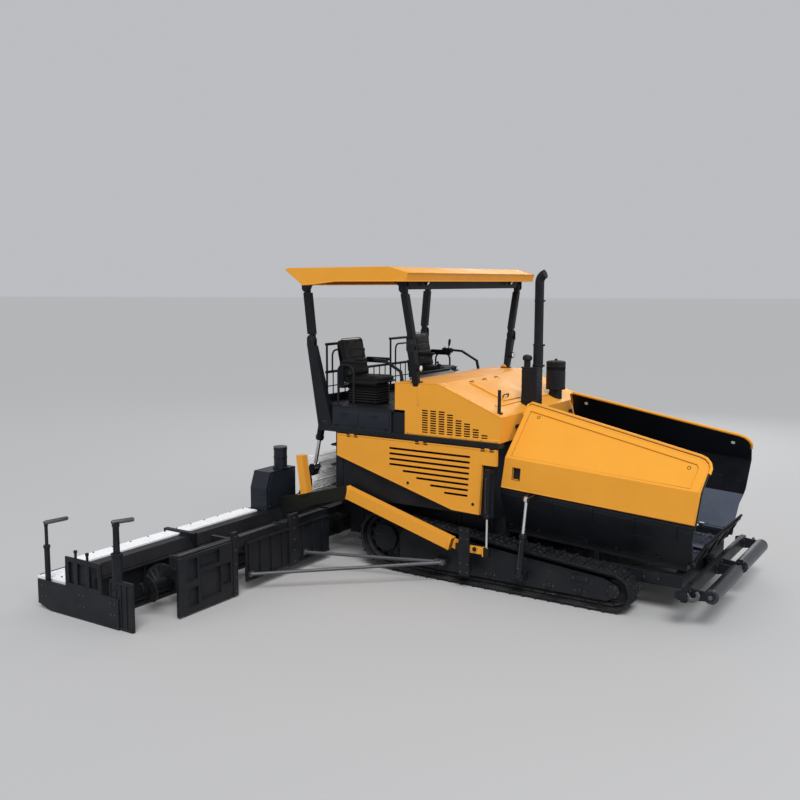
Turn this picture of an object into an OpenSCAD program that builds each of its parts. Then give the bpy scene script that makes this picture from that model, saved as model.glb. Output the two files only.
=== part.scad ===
// Tracked asphalt paver with a wide fixed screed.
// X points forwards to the push rollers, Y to the machine's left, Z up.
// The origin lies on the ground, in the middle of the length and the width.

/* [Overall] */
// Length from the walkway's rear edge to the front of the push rollers
machine_len = 6600; // [6560:10:6700]
// Width over the screed's end gates
screed_w = 9000; // [8600:10:9400]
// Width over the tractor's side walls
tractor_w = 2400; // [2380:2:2410]
// Height of the canopy's roof
roof_top_z = 3756; // [3720:1:3800]

/* [Tracks] */
// Distance between the middles of the two tracks
track_gauge = 2200; // [2190:1:2210]
// Width of a track shoe
shoe_w = 300; // [260:5:310]
// Pitch that the shoes are laid out for
shoe_pitch = 160; // [120:5:200]
// Height of the bar on a shoe
grouser_h = 25; // [15:1:32]
// Thickness of a shoe's plate
shoe_t = 22; // [14:1:26]
// Depth of the chain under the shoes
chain_depth = 75; // [60:1:85]
// Width of the chain
chain_w = 110; // [90:1:120]
// Front idler: place along the machine
idler_x = 2185; // [2150:5:2200]
// Front idler: radius out to the shoe bars
idler_r = 240; // [225:1:250]
// Rear sprocket: place along the machine
sprocket_x = -800; // [-830:5:-780]
// Rear sprocket: height of its axle
sprocket_z = 400; // [390:1:420]
// Rear sprocket: radius out to the shoe bars
sprocket_r = 360; // [340:1:370]
// Rearmost lower roller: place along the machine
roller_rear_x = -430; // [-450:5:-400]
// Lower rollers: radius with the chain round them
roller_line_r = 150; // [145:1:160]
// Number of lower rollers on each side
roller_count = 7; // [5:1:8]
// Thickness of the side plates that hold the rollers
cheek_t = 25; // [16:1:30]

/* [Tractor] */
// Rear wall: place along the machine
tractor_rear_x = -1550; // [-1570:5:-1540]
// Front wall behind the hopper: place along the machine
bulkhead_x = 715; // [700:1:718]
// Thickness of the tractor's walls
wall_t = 25; // [12:1:30]
// Underside of the belly
belly_z = 300; // [280:5:320]
// Floor of the engine bay
bay_floor_z = 860; // [840:5:870]
// Top of the side walls
deck_z = 1685; // [1685:1:1690]
// Height of the deck beam
deck_beam_h = 60; // [50:1:64]
// Outer half width of the deck and of the closed doors
deck_half_w = 1250; // [1240:1:1255]
// Width of the conveyor tunnel
tunnel_w = 1520; // [1400:10:1540]
// Floor of the conveyor tunnel
tunnel_floor_z = 560; // [520:5:580]
// Outer half width of the belly beams
beam_half_w = 880; // [860:2:890]
// Top of the operator's platform
platform_z = 2030; // [2020:1:2040]
// Thickness of the platform's floor
platform_t = 30; // [20:1:40]
// Rear edge of the platform
platform_rear_x = -1800; // [-1810:5:-1790]

/* [Hood] */
// Half width of the hood
hood_half_w = 1230; // [1200:2:1236]
// Thickness of the hood's sheet
hood_t = 20; // [8:1:24]
// Height of the hood's top edge
hood_top_z = 2387; // [2370:1:2400]
// Height of the hood where it ends in front
hood_front_z = 2047; // [2030:1:2060]
// Height of a hole in the hood's grille
grille_hole = 16; // [8:1:20]
// Distance from one grille hole to the next
grille_pitch_x = 115; // [70:1:120]
// Distance from one grille row to the next
grille_pitch_z = 29; // [26:1:31]

/* [Side doors] */
// Thickness of a side door
door_t = 45; // [30:1:48]
// Height of a door louvre
louvre_h = 26; // [14:1:40]
// Distance from one louvre to the next
louvre_pitch = 66.5; // [60:0.5:70]
// Radius of the door hinges' knuckles
knuckle_r = 8; // [6:0.5:9]

/* [Hopper] */
// Slope of the hopper's hinge lines down to the front, in degrees
hopper_tilt = 3.7; // [3:0.1:4.2]
// Half width of the hopper's fixed floor at the hinge lines
hopper_hinge_y = 830; // [822:1:836]
// Height of the hinge lines at their rear end
hopper_hinge_z = 720; // [710:1:730]
// Thickness of a wing's plates
wing_t = 25; // [12:1:28]
// Inward lean of a wing's upper part, in degrees
wing_lean = 38; // [34:1:40]
// Length of a wing along its hinge line
wing_len = 2250; // [2200:10:2290]
// Radius of the wing's hinge tube
hinge_tube_r = 24; // [20:1:26]
// Radius of the hopper cylinders' barrels
hopper_barrel_r = 36; // [30:1:40]
// Radius of the hopper cylinders' rods
hopper_rod_r = 20; // [16:1:24]

/* [Push rollers] */
// Radius of a push roller
push_roller_r = 80; // [70:1:100]
// Height of the rollers' axis
push_roller_z = 360; // [350:1:370]
// Inner end of a push roller
push_roller_y0 = 120; // [115:1:140]
// Outer end of a push roller
push_roller_y1 = 1160; // [1100:5:1180]
// Half width of the push beam
push_beam_half_w = 1300; // [1280:5:1320]

/* [Screed] */
// Front face of the screed
screed_front_x = -2300; // [-2310:5:-2290]
// Rear face of the screed
screed_rear_x = -2760; // [-2780:5:-2740]
// Height of the screed's top
screed_top_z = 600; // [580:5:620]
// Thickness of the sole plates
sole_t = 25; // [15:1:35]
// Half width of the screed's middle section
screed_main_half_w = 1500; // [1480:5:1560]
// Distance from the middle to the joint of the two outer sections
screed_joint_y = 3000; // [2950:5:3060]
// Thickness of an end gate
end_gate_t = 20; // [12:1:22]
// Height of the rear walkway
walkway_z = 330; // [300:5:360]
// Thickness of the walkway plates
walkway_t = 30; // [15:1:40]

/* [Tow arms and cylinders] */
// Middle plane of a tow arm
tow_arm_y = 1330; // [1328:1:1334]
// Thickness of a tow arm
tow_arm_t = 110; // [90:1:112]
// Height of a tow arm's section
tow_arm_h = 145; // [130:1:155]
// Tow pin: place along the machine
tow_pin_x = 336; // [330:1:340]
// Tow pin: height
tow_pin_z = 484; // [480:1:490]
// Radius of the tow pin
tow_pin_r = 22; // [16:1:26]
// Travel of the tow points
tow_travel = 100; // [60:5:100]
// Levelling cylinder: place along the machine
level_x = 700; // [695:1:702]
// Radius of the levelling cylinder's barrel
level_barrel_r = 32; // [26:1:34]
// Radius of the levelling cylinder's rod
level_rod_r = 15; // [12:1:18]
// Middle plane of the screed's lift cylinders
lift_y = 900; // [880:2:920]
// Radius of the lift cylinders' barrels
lift_barrel_r = 48; // [40:1:52]
// Radius of the lift cylinders' rods
lift_rod_r = 26; // [20:1:30]

/* [Augers] */
// Radius of the auger's flight
auger_r = 190; // [170:1:200]
// Radius of the auger's shaft
auger_shaft_r = 38; // [30:1:45]
// Height of the auger's axis
auger_z = 350; // [340:1:380]
// Place of the auger's axis along the machine
auger_x = -1950; // [-1960:1:-1940]
// Distance along the shaft for one turn of the flight
auger_pitch = 345; // [300:5:400]
// Outer end of the auger
auger_end_y = 4150; // [4000:10:4160]

/* [Canopy] */
// Height of the hinges that the canopy folds on
fold_z = 2850; // [2840:1:2860]
// Length of the folding posts between their pins
fold_arm = 670; // [660:1:675]
// Place of the rear posts' hinges along the machine
rear_post_x = -1790; // [-1795:1:-1785]
// Place of the front posts' hinges along the machine
front_post_x = -333; // [-340:1:-325]
// Half width of the roof
roof_half_w = 1700; // [1660:5:1740]
// Thickness of the roof's sheet
roof_t = 25; // [12:1:30]
// Radius of the post pins
post_pin_r = 18; // [14:1:20]

/* [Exhaust and intake] */
// Half length of the exhaust's muffler cover
muffler_half = 102; // [92:1:110]
// Radius of the exhaust stack
stack_r = 55; // [45:1:58]
// Radius of the air cleaner
cleaner_r = 125; // [100:1:130]

/* [Hidden] */
$fn = 48;
// Gap round a pin or a rod, and gap beside a moving piece
pin_gap = 0.5;
side_gap = 3;
seat_gap = 0.3;

// Paints
yellow = "#e09a2c";
yellow_bright = "#f2b53a";
black = "#14181f";
blue_grey = "#2a3038";
chrome = "#dfe3e8";
worn_steel = "#6a7486";
roller_grey = "#8d9299";
white = "#eeeeee";

wall_y = tractor_w / 2;
track_y = track_gauge / 2;

// ---- Shared shapes ----

// Children are drawn on the left side, s = 1, or mirrored to the right, s = -1
module on(s) {
  mirror([0, s < 0 ? 1 : 0, 0]) children();
}

module on_both() {
  for (s = [-1, 1]) on(s) children();
}

module block(lo, hi) {
  translate(lo) cube(hi - lo);
}

// An outline in X and Z, from y0 to y1
module slab_y(outline, y0, y1) {
  translate([0, y1, 0]) rotate([90, 0, 0]) linear_extrude(y1 - y0) polygon(outline);
}

// An outline in Y and Z, from x0 to x1
module slab_x(outline, x0, x1) {
  translate([x0, 0, 0]) rotate([90, 0, 90]) linear_extrude(x1 - x0) polygon(outline);
}

// A round pin along Y
module pin_y(x, z, r, y0, y1) {
  translate([x, y0, z]) rotate([-90, 0, 0]) cylinder(r = r, h = y1 - y0);
}

// A round pin along X
module pin_x(y, z, r, x0, x1) {
  translate([x0, y, z]) rotate([0, 90, 0]) cylinder(r = r, h = x1 - x0);
}

// A round bar between two points
module bar(a, b, r) {
  v = b - a;
  translate(a) rotate([0, acos(v[2] / norm(v)), atan2(v[1], v[0])]) cylinder(r = r, h = norm(v));
}

// A bent rail of square section in the plane at y, through a list of x and z
function run_way(p, i) = let(k = min(max(i, 0), len(p) - 2)) (p[k + 1] - p[k]) / norm(p[k + 1] - p[k]);
function beside(p, i, r) = let(m = run_way(p, i - 1) + run_way(p, i)) p[i] + 2 * r / (m * m) * [-m[1], m[0]];
module rail(y, p, r) {
  n = len(p) - 1;
  slab_y(concat([for (i = [0 : n]) beside(p, i, r)], [for (i = [n : -1 : 0]) beside(p, i, -r)]), y - r, y + r);
}

// ---- Tracks ----

roller_z = grouser_h + roller_line_r;
// Wheels of the loop in turn: x, z, radius of the line under the shoe bars
LOOP = [
  [idler_x, idler_r, idler_r - grouser_h],
  [sprocket_x, sprocket_z, sprocket_r - grouser_h],
  [roller_rear_x, roller_z, roller_line_r]
];
function gap_of(a, b) = norm([b[0] - a[0], b[1] - a[1]]);
// Direction of the straight run from wheel i to the next
function way(i) = let(a = LOOP[i], b = LOOP[(i + 1) % 3])
  atan2(b[1] - a[1], b[0] - a[0]) + asin((a[2] - b[2]) / gap_of(a, b));
function turn(i) = (way(i) - way((i + 2) % 3) + 720) % 360;
function arc_len(i) = LOOP[i][2] * turn(i) * PI / 180;
function run_len(i) = let(a = LOOP[i], b = LOOP[(i + 1) % 3]) sqrt(pow(gap_of(a, b), 2) - pow(a[2] - b[2], 2));
loop_len = arc_len(0) + run_len(0) + arc_len(1) + run_len(1) + arc_len(2) + run_len(2);
shoe_count = round(loop_len / shoe_pitch);
shoe_step = loop_len / shoe_count;
// Point on the loop at a distance s along it
function spot(s, i = 0) =
  let(w = LOOP[i], arc = arc_len(i), a = way((i + 2) % 3) + s / w[2] * 180 / PI, b = way(i))
  s < arc ? [w[0] + w[2] * sin(a), w[1] - w[2] * cos(a)]
  : s < arc + run_len(i) || i == 2
    ? [w[0] + w[2] * sin(b) + (s - arc) * cos(b), w[1] - w[2] * cos(b) + (s - arc) * sin(b)]
    : spot(s - arc - run_len(i), i + 1);
// A profile's points on shoe i: share of the shoe along it, height above the plate
function on_shoe(i, profile) =
  let(a = spot(i * shoe_step), b = spot(i == shoe_count - 1 ? 0 : (i + 1) * shoe_step), t = (b - a) / norm(b - a))
  [for (q = profile) a + q[0] * norm(b - a) * t + q[1] * [t[1], -t[0]]];
SHOE = [[0.04, 0], [0.3, 0], [0.36, grouser_h], [0.5, grouser_h], [0.56, 0], [0.96, 0]];
LINK = [[0.1, -shoe_t + 2], [0.9, -shoe_t + 2]];
function all_shoes(profile) = [for (i = [0 : shoe_count - 1]) each on_shoe(i, profile)];

module loop_band(outer, inner, w) {
  difference() {
    slab_y(all_shoes(outer), track_y - w / 2, track_y + w / 2);
    slab_y(all_shoes(inner), track_y - w / 2 - 1, track_y + w / 2 + 1);
  }
}

module track() {
  color(black) {
    loop_band(SHOE, [[0.1, -shoe_t], [0.9, -shoe_t]], shoe_w);
    loop_band(LINK, [[0.3, -chain_depth], [0.7, -chain_depth]], chain_w);
  }
}

wheel_w = chain_w + 10;
cheek_in = wheel_w / 2 + 10;
cheek_out = cheek_in + cheek_t;
roller_front_x = idler_x - 345;
roller_gap = (roller_front_x - roller_rear_x) / (roller_count - 1);
frame_beam_z = roller_z + roller_line_r - chain_depth + 12;
// Largest wheel inside the chain where its flat links bend round a line of this radius
function seat_r(line_r) = line_r * cos(shoe_step * 90 / (PI * line_r)) - chain_depth - seat_gap;
idler_wheel_r = seat_r(idler_r - grouser_h);
sprocket_wheel_r = seat_r(sprocket_r - grouser_h);
roller_r = roller_line_r - chain_depth - seat_gap;
top_slope = (sprocket_z + sprocket_r - 2 * idler_r) / (sprocket_x - idler_x);
function under_run(x, drop) = 2 * idler_r - 2 * grouser_h + (x - idler_x) * top_slope - drop;

module track_frame() {
  color(black) difference() {
    union() {
      for (s = [-1, 1]) {
        y0 = s > 0 ? track_y + cheek_in : track_y - cheek_out;
        slab_y([
          [sprocket_x + sprocket_wheel_r - 30, roller_z - 55], [idler_x - 80, roller_z - 55],
          [idler_x + 60, roller_z + 10], [idler_x + 60, idler_r + 60], [idler_x - 120, under_run(idler_x, 60)],
          [sprocket_x + sprocket_wheel_r + 60, under_run(sprocket_x + sprocket_wheel_r + 60, 80)],
          [sprocket_x + sprocket_wheel_r - 30, sprocket_z + 60]
        ], y0, y0 + cheek_t);
      }
      slab_y([
        [sprocket_x + sprocket_wheel_r + 25, frame_beam_z], [idler_x - idler_wheel_r - 30, frame_beam_z],
        [idler_x - idler_wheel_r - 30, under_run(idler_x, 90)],
        [sprocket_x + sprocket_wheel_r + 25, under_run(sprocket_x + sprocket_wheel_r, 200)]
      ], track_y - cheek_in, track_y + cheek_in);
      for (f = FEET) block([f[0], track_y + cheek_in, f[2]], [f[0] + f[1], f[4], f[3]]);
      // Cheeks and pin for the foot of the hopper cylinder
      on_hop_cylinder() {
        for (x = [-hopper_barrel_r - 22, hopper_barrel_r + 4])
          translate([x, -hopper_barrel_r - 30, -40]) cube([18, hopper_barrel_r + 60, 75]);
        translate([-hopper_barrel_r - 5, 0, 0]) rotate([0, 90, 0]) cylinder(r = foot_pin_r, h = 2 * hopper_barrel_r + 10);
      }
    }
    // Room for the wheels between the side plates
    for (i = [0 : roller_count - 1])
      pin_y(roller_rear_x + i * roller_gap, roller_z, roller_line_r - chain_depth + 6, track_y - cheek_in, track_y + cheek_in);
  }
}

module track_wheel(x, z, r, axle_r) {
  pin_y(x, z, r, track_y - wheel_w / 2, track_y + wheel_w / 2);
  pin_y(x, z, axle_r, track_y - cheek_in, track_y + cheek_in);
}

module track_wheels() {
  tooth_count = 13;
  color(blue_grey) on_both() {
    track_wheel(idler_x, idler_r, idler_wheel_r, 40);
    for (i = [0 : roller_count - 1])
      track_wheel(roller_rear_x + i * roller_gap, roller_z, i == 0 ? roller_r - 8 : roller_r, 25);
    slab_y([for (i = [0 : tooth_count - 1]) each [for (q = [[-0.3, 0.86], [-0.12, 1], [0.12, 1], [0.3, 0.86]])
      [sprocket_x + q[1] * sprocket_wheel_r * cos(360 * (i + q[0]) / tooth_count),
       sprocket_z + q[1] * sprocket_wheel_r * sin(360 * (i + q[0]) / tooth_count)]]],
      track_y - chain_w / 4, track_y + chain_w / 4);
    // Final drive between the belly beam and the sprocket
    pin_y(sprocket_x, sprocket_z, 165, beam_half_w, track_y + chain_w / 2 + 40);
  }
}

// ---- Tractor ----

tunnel_half_w = tunnel_w / 2;

module chassis() {
  color(black) {
    on_both() {
      block([tractor_rear_x, tunnel_half_w, belly_z], [bulkhead_x, beam_half_w, bay_floor_z]);
      for (x = [-250, 350]) block([x, beam_half_w - 1, 330], [x + 250, track_y - cheek_out, 430]);
    }
    block([tractor_rear_x, -tunnel_half_w - 1, belly_z], [bulkhead_x, tunnel_half_w + 1, belly_z + wall_t]);
    block([tractor_rear_x, -tunnel_half_w - 1, tunnel_floor_z - wall_t], [bulkhead_x, tunnel_half_w + 1, tunnel_floor_z]);
  }
}

// Side door outline: x, z
door_top_z = deck_z - 15;
door_front_x = 768;
DOOR = [
  [-1493, door_top_z], [door_front_x, door_top_z], [door_front_x, 1478], [584, 1480],
  [554, 883], [192, 894], [-1500, 1385]
];
DOORWAY = [[-1430, door_top_z - 70], [525, door_top_z - 70], [495, 945], [220, 950], [-1430, 1425]];

module tractor_body() {
  color(black) {
    block([tractor_rear_x, -wall_y, bay_floor_z], [bulkhead_x, wall_y, bay_floor_z + wall_t]);
    for (x = [tractor_rear_x, bulkhead_x - wall_t])
      block([x, -wall_y, bay_floor_z], [x + wall_t, wall_y, deck_z]);
    block([tractor_rear_x, -wall_y, deck_z - wall_t], [-640, wall_y, deck_z]);
    on_both() difference() {
      slab_y([
        [tractor_rear_x, bay_floor_z], [bulkhead_x, bay_floor_z], [bulkhead_x, 1470],
        [door_front_x - 8, 1470], [door_front_x - 8, deck_z], [tractor_rear_x, deck_z]
      ], wall_y - wall_t, wall_y);
      slab_y(DOORWAY, wall_y - wall_t - 1, wall_y + 1);
    }
    // Bracket of the levelling cylinder
    on_both() difference() {
      block([level_x - 36, wall_y - 1, 1395], [level_x + 30, tow_arm_y - level_barrel_r + 8, 1440]);
      translate([level_x, tow_arm_y, 1300]) cylinder(r = level_barrel_r, h = 200);
    }
  }
}

HINGE_X = [-1264, -244, 648];
hinge_half = 80;
leaf_half = 30;
hinge_pin_r = 4;
deck_top_z = deck_z + deck_beam_h;

module deck_frame() {
  color(black) {
    on_both() {
      block([platform_rear_x, wall_y - 100, deck_z], [795, deck_half_w, deck_top_z]);
      block([-670, wall_y - 60, deck_top_z], [-500, hood_half_w - 5, platform_z - platform_t]);
      for (x = HINGE_X) for (x0 = [x - hinge_half, x + leaf_half + 6]) {
        pin_x(deck_half_w, door_top_z, knuckle_r, x0, x0 + hinge_half - leaf_half - 6);
        pin_x(deck_half_w, door_top_z, hinge_pin_r, x - hinge_half, x + hinge_half);
        block([x0, deck_half_w - knuckle_r, door_top_z], [x0 + hinge_half - leaf_half - 6, deck_half_w, deck_z]);
      }
      // Cheeks of the lift cylinders' upper pins
      for (y = [lift_y - lift_gap - 20, lift_y + lift_gap])
        slab_y([[platform_rear_x + 1, deck_z], [platform_rear_x + 1, platform_z - platform_t], [lift_top[0] - 45, 1950],
          [lift_top[0] - 45, 1860]], y, y + 20);
    }
    block([platform_rear_x, -deck_half_w, deck_z], [platform_rear_x + 60, deck_half_w, deck_top_z]);
    block([platform_rear_x, -lift_y - 60, deck_top_z], [platform_rear_x + 40, lift_y + 60, platform_z - platform_t]);
    on_both() pin_y(lift_top[0], lift_top[1], 20, lift_y - lift_gap - 1, lift_y + lift_gap + 1);
  }
}

// Room round the rear canopy stands
module stand_notch() {
  f = STANDS[0];
  on_both() block([platform_rear_x - 60, f[2] - 4, deck_top_z - 1], [f[1] + 4, deck_half_w + 1, platform_z + 1]);
}

module side_boxes() {
  color(blue_grey) difference() {
    on_both() block([-1606, 620, deck_top_z], [-677, deck_half_w, platform_z - platform_t]);
    stand_notch();
  }
}

module platform_floor() {
  color(black) difference() {
    block([platform_rear_x, -deck_half_w, platform_z - platform_t], [-640, deck_half_w, platform_z]);
    stand_notch();
  }
}

module engine_block() {
  color(roller_grey) block([-450, -430, bay_floor_z + wall_t], [430, 430, 1760]);
}

// ---- Hood ----

hood_rear_x = -634;
hood_step_x = -490;
hood_ridge_x = -28;
hood_nose_x = 815;
hood_foot_x = 797;
HOOD = [
  [hood_rear_x, hood_top_z - 17], [hood_ridge_x, hood_top_z], [hood_nose_x, hood_front_z],
  [hood_foot_x, deck_top_z], [hood_step_x, deck_top_z], [hood_step_x, platform_z + 5], [hood_rear_x, platform_z + 5]
];
HOOD_ROOM = [
  [hood_rear_x + hood_t, hood_top_z - 17 - hood_t], [hood_ridge_x - 4, hood_top_z - hood_t],
  [hood_nose_x - hood_t, hood_front_z - hood_t * 0.7], [hood_foot_x - hood_t, deck_top_z - 1],
  [hood_step_x + hood_t, deck_top_z - 1], [hood_step_x + hood_t, platform_z + 5 + hood_t],
  [hood_rear_x + hood_t, platform_z + 5 + hood_t]
];
grille_top_z = 2052;
grille_x = -205;
grille_rows_max = 10;
GRILLE_ROWS = [10, 10, 10, 9, 7, 6, 4, 2];

module hood_solid() {
  slab_y(HOOD, -hood_half_w, hood_half_w);
}

module engine_hood() {
  color(yellow) difference() {
    hood_solid();
    slab_y(HOOD_ROOM, -hood_half_w + hood_t, hood_half_w - hood_t);
    // Grille holes, in columns that get shorter to the front
    for (i = [0 : 7]) for (k = [grille_rows_max - GRILLE_ROWS[i] : grille_rows_max - 1])
        translate([grille_x + i * grille_pitch_x, 0, grille_top_z - k * grille_pitch_z])
          cube([grille_pitch_x * 0.68, 2 * hood_half_w + 10, grille_hole], center = true);
  }
}

muffler = [745, -275];
muffler_z = [2075, 2550];
// The stack stands beside the muffler's middle
stack = muffler + [58, 42];
stack_z = [2550, 2830, 3580];

module exhaust() {
  bend_r = 110;
  color(black) difference() {
    union() {
      translate([muffler[0], muffler[1], muffler_z[0]]) linear_extrude(muffler_z[1] - muffler_z[0])
        offset(r = 25) square([2 * muffler_half - 50, 145], center = true);
      translate([stack[0], stack[1], stack_z[0]]) cylinder(r = stack_r + 6, h = stack_z[1] - stack_z[0]);
      translate([stack[0], stack[1], stack_z[1]]) cylinder(r = stack_r, h = stack_z[2] - stack_z[1]);
      // Outlet bent forwards
      translate([stack[0] + bend_r, stack[1], stack_z[2]]) rotate([90, 0, 0]) rotate([0, 0, 110])
        rotate_extrude(angle = 70) translate([bend_r, 0]) circle(r = stack_r);
    }
    hood_solid();
  }
}

cleaner = [680, 600];

module air_precleaner() {
  // Steps from the foot up: height, radius
  steps = [[2080, cleaner_r - 40], [2200, cleaner_r], [2440, cleaner_r - 12], [2490, cleaner_r], [2550, 0]];
  color(black) difference() {
    for (i = [0 : len(steps) - 2])
      translate([cleaner[0], cleaner[1], steps[i][0]]) cylinder(r = steps[i][1], h = steps[i + 1][0] - steps[i][0]);
    hood_solid();
  }
}

// ---- Operator's platform ----

seat_y = 830;

module seat_stands() {
  color(black) on_both() {
    block([-1500, seat_y - 150, platform_z], [-1080, seat_y + 150, 2290]);
    // Arm rests on brackets under the cushion
    block([-1560, seat_y - 270, 2230], [-1500, seat_y + 270, 2270]);
    for (y = [seat_y - 270, seat_y + 240]) {
      block([-1560, y, 2230], [-1510, y + 30, 2560]);
      block([-1560, y, 2530], [-1180, y + 30, 2575]);
    }
  }
}

SEAT = [[-1000, 2290], [-1010, 2400], [-1500, 2385], [-1600, 2855], [-1715, 2855], [-1600, 2290]];

module seat_pad() {
  color(black) slab_y(SEAT, seat_y - 235, seat_y + 235);
}

module control_desk() {
  color(black) {
    slab_y([[-880, platform_z], [-880, 2330], [-820, 2390], [-670, 2310], [-670, platform_z]], -470, 470);
    on_both() rail(1000, [[-1103, 2611], [-939, 2603], [-700, 2480], [-665, 2330], [-665, platform_z]], 15);
  }
}

module guard_rails() {
  rail_x = platform_rear_x + 22;
  color(black) {
    for (y = [-1080, -420, 420, 1080]) bar([rail_x, y, platform_z], [rail_x, y, 2780], 14);
    bar([rail_x, -1100, 2420], [rail_x, 1100, 2420], 18);
    for (s = [-1, 1]) bar([rail_x, s * 400, 2780], [rail_x, s * 1100, 2780], 18);
  }
}

// ---- Canopy ----

// Posts: x, y of the fold pin, y of the roof pin, half width near the pins
POSTS = [[rear_post_x, 1362, 1456, 50], [front_post_x, 1318, 1490, 42]];
eye_half = 22;
cheek_gap = eye_half + side_gap;
top_pin_z = fold_z + fold_arm;
// Feet: low x, high x, low y, high y, z
STANDS = [[-1798, -1575, 1170, 1250, deck_top_z], [-375, -298, 1178, 1228, hood_top_z - 60]];

module canopy_stands() {
  color(black) on_both() for (i = [0, 1]) {
    p = POSTS[i];
    f = STANDS[i];
    difference() {
      union() {
        hull() {
          block([f[0], f[2], f[4]], [f[1], f[3], f[4] + 5]);
          block([p[0] - p[3] - 4, p[1] - 42, fold_z - 85], [p[0] + p[3] + 4, p[1] + 42, fold_z - 70]);
        }
        for (y = [p[1] - cheek_gap - 14, p[1] + cheek_gap]) {
          block([p[0] - 40, y, fold_z - 80], [p[0] + 40, y + 14, fold_z]);
          pin_y(p[0], fold_z, 40, y, y + 14);
        }
        pin_y(p[0], fold_z, post_pin_r, p[1] - cheek_gap - 12, p[1] + cheek_gap + 12);
      }
      hood_solid();
    }
  }
  // Lamp housings on the front stands
  color(black) on_both() translate([-330, 1245, 2560]) rotate([0, 90, 0]) cylinder(r = 40, h = 75);
}

module fold_post(p) {
  difference() {
    union() {
      for (q = [[fold_z, p[1]], [top_pin_z, p[2]]]) pin_y(p[0], q[0], 42, q[1] - eye_half, q[1] + eye_half);
      block([p[0] - 36, p[1] - eye_half, fold_z], [p[0] + 36, p[1] + eye_half, fold_z + 95]);
      hull() {
        block([p[0] - p[3], p[1] - eye_half, fold_z + 75], [p[0] + p[3], p[1] + eye_half + 20, fold_z + 95]);
        block([p[0] - p[3], p[2] - eye_half - 20, top_pin_z - 95], [p[0] + p[3], p[2] + eye_half, top_pin_z - 75]);
      }
      block([p[0] - 36, p[2] - eye_half, top_pin_z - 95], [p[0] + 36, p[2] + eye_half, top_pin_z]);
    }
    for (q = [[fold_z, p[1]], [top_pin_z, p[2]]])
      pin_y(p[0], q[0], post_pin_r + pin_gap, q[1] - 60, q[1] + 60);
  }
}

ROOF = [
  [-1947, roof_top_z - 30], [-1900, roof_top_z - 12], [-420, roof_top_z], [-160, roof_top_z - 70],
  [-185, roof_top_z - 165], [-1180, roof_top_z - 170], [-1500, roof_top_z - 205], [-1680, roof_top_z - 215]
];
ROOF_ROOM = [
  [-1880, roof_top_z - 12 - roof_t], [-420 - 3, roof_top_z - roof_t], [-205, roof_top_z - 60 - roof_t],
  [-205, roof_top_z - 300], [-1640, roof_top_z - 300], [-1640, roof_top_z - 205]
];

module roof_shell() {
  difference() {
    slab_y(ROOF, -roof_half_w, roof_half_w);
    slab_y(ROOF_ROOM, -roof_half_w + roof_t, roof_half_w - roof_t);
  }
}

module canopy_frame() {
  color(black) difference() {
    union() {
      on_both() {
        block([-1840, 1400, top_pin_z + 95], [-260, 1540, roof_top_z - roof_t]);
        // Cheeks that widen into gussets towards the middle
        for (i = [0, 1]) {
          p = POSTS[i];
          inner = i == 0 ? 38 : -38;
          for (y = [p[2] - cheek_gap - 14, p[2] + cheek_gap]) {
            slab_y([
              [p[0] - inner, top_pin_z], [p[0] - inner, top_pin_z + 120], [p[0] + inner * 4.5, top_pin_z + 120],
              [p[0] + inner * 4.5, top_pin_z + 95], [p[0] + inner, top_pin_z]
            ], y, y + 14);
            pin_y(p[0], top_pin_z, 38, y, y + 14);
          }
        }
      }
      on_both() pin_y(rear_post_x, top_pin_z, post_pin_r, POSTS[0][2] - cheek_gap - 12, POSTS[0][2] + cheek_gap + 12);
      // Cross bar between the front posts, deeper inside the cheeks
      bar_end = POSTS[1][2] - cheek_gap - 1;
      slab_x([
        [-bar_end, top_pin_z + 68], [-bar_end, top_pin_z + 15], [-bar_end + 30, top_pin_z + 15],
        [-bar_end + 70, top_pin_z - 25], [bar_end - 70, top_pin_z - 25], [bar_end - 30, top_pin_z + 15],
        [bar_end, top_pin_z + 15], [bar_end, top_pin_z + 68]
      ], front_post_x - 30, front_post_x + 30);
      for (x = [-1600, -420]) block([x, -1401, roof_top_z - roof_t - 60], [x + 80, 1401, roof_top_z - roof_t]);
    }
    roof_shell();
    // The beams keep under the roof's sloping front and rear
    slab_y([[-1947, roof_top_z + 1], [-1947, roof_top_z - 38], [-1640, 3540], [-1640, 3400], [-2100, 3400], [-2100, roof_top_z + 1]], 0, 1);
    slab_y([
      [-1900, roof_top_z + 1], [-1900, roof_top_z - 12 - roof_t], [-423, roof_top_z - roof_t],
      [-180, roof_top_z - 66 - roof_t], [-180, roof_top_z + 1]
    ], -1600, 1600);
  }
}

// ---- Side doors ----

module side_door() {
  y0 = deck_half_w - door_t;
  color(yellow) {
    difference() {
      slab_y(DOOR, y0, deck_half_w);
      for (x = HINGE_X) block([x - hinge_half - 8, y0 - 1, door_top_z - 34], [x + hinge_half + 8, deck_half_w + 1, door_top_z + 1]);
      for (i = [0 : 7]) {
        z = 1556 - i * louvre_pitch;
        block([-698 + max(0, i - 3) * 195, y0 - 1, z - louvre_h / 2], [425 - i * 4, deck_half_w + 1, z + louvre_h / 2]);
      }
    }
    for (x = HINGE_X) difference() {
      union() {
        block([x - leaf_half, deck_half_w - 12, door_top_z - 35], [x + leaf_half, deck_half_w, door_top_z]);
        pin_x(deck_half_w, door_top_z, knuckle_r, x - leaf_half, x + leaf_half);
      }
      pin_x(deck_half_w, door_top_z, hinge_pin_r + pin_gap / 2, x - leaf_half - 1, x + leaf_half + 1);
    }
  }
}

// ---- Hopper ----

// Children are drawn in the hopper's own frame: X along the left hinge line, from its rear end
module in_hopper(y = hopper_hinge_y) {
  translate([750, y, hopper_hinge_z]) rotate([0, hopper_tilt, 0]) children();
}

HINGES = [[60, 360], [1000, 1300], [1850, 2150]];
hopper_pin_r = 12;

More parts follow.
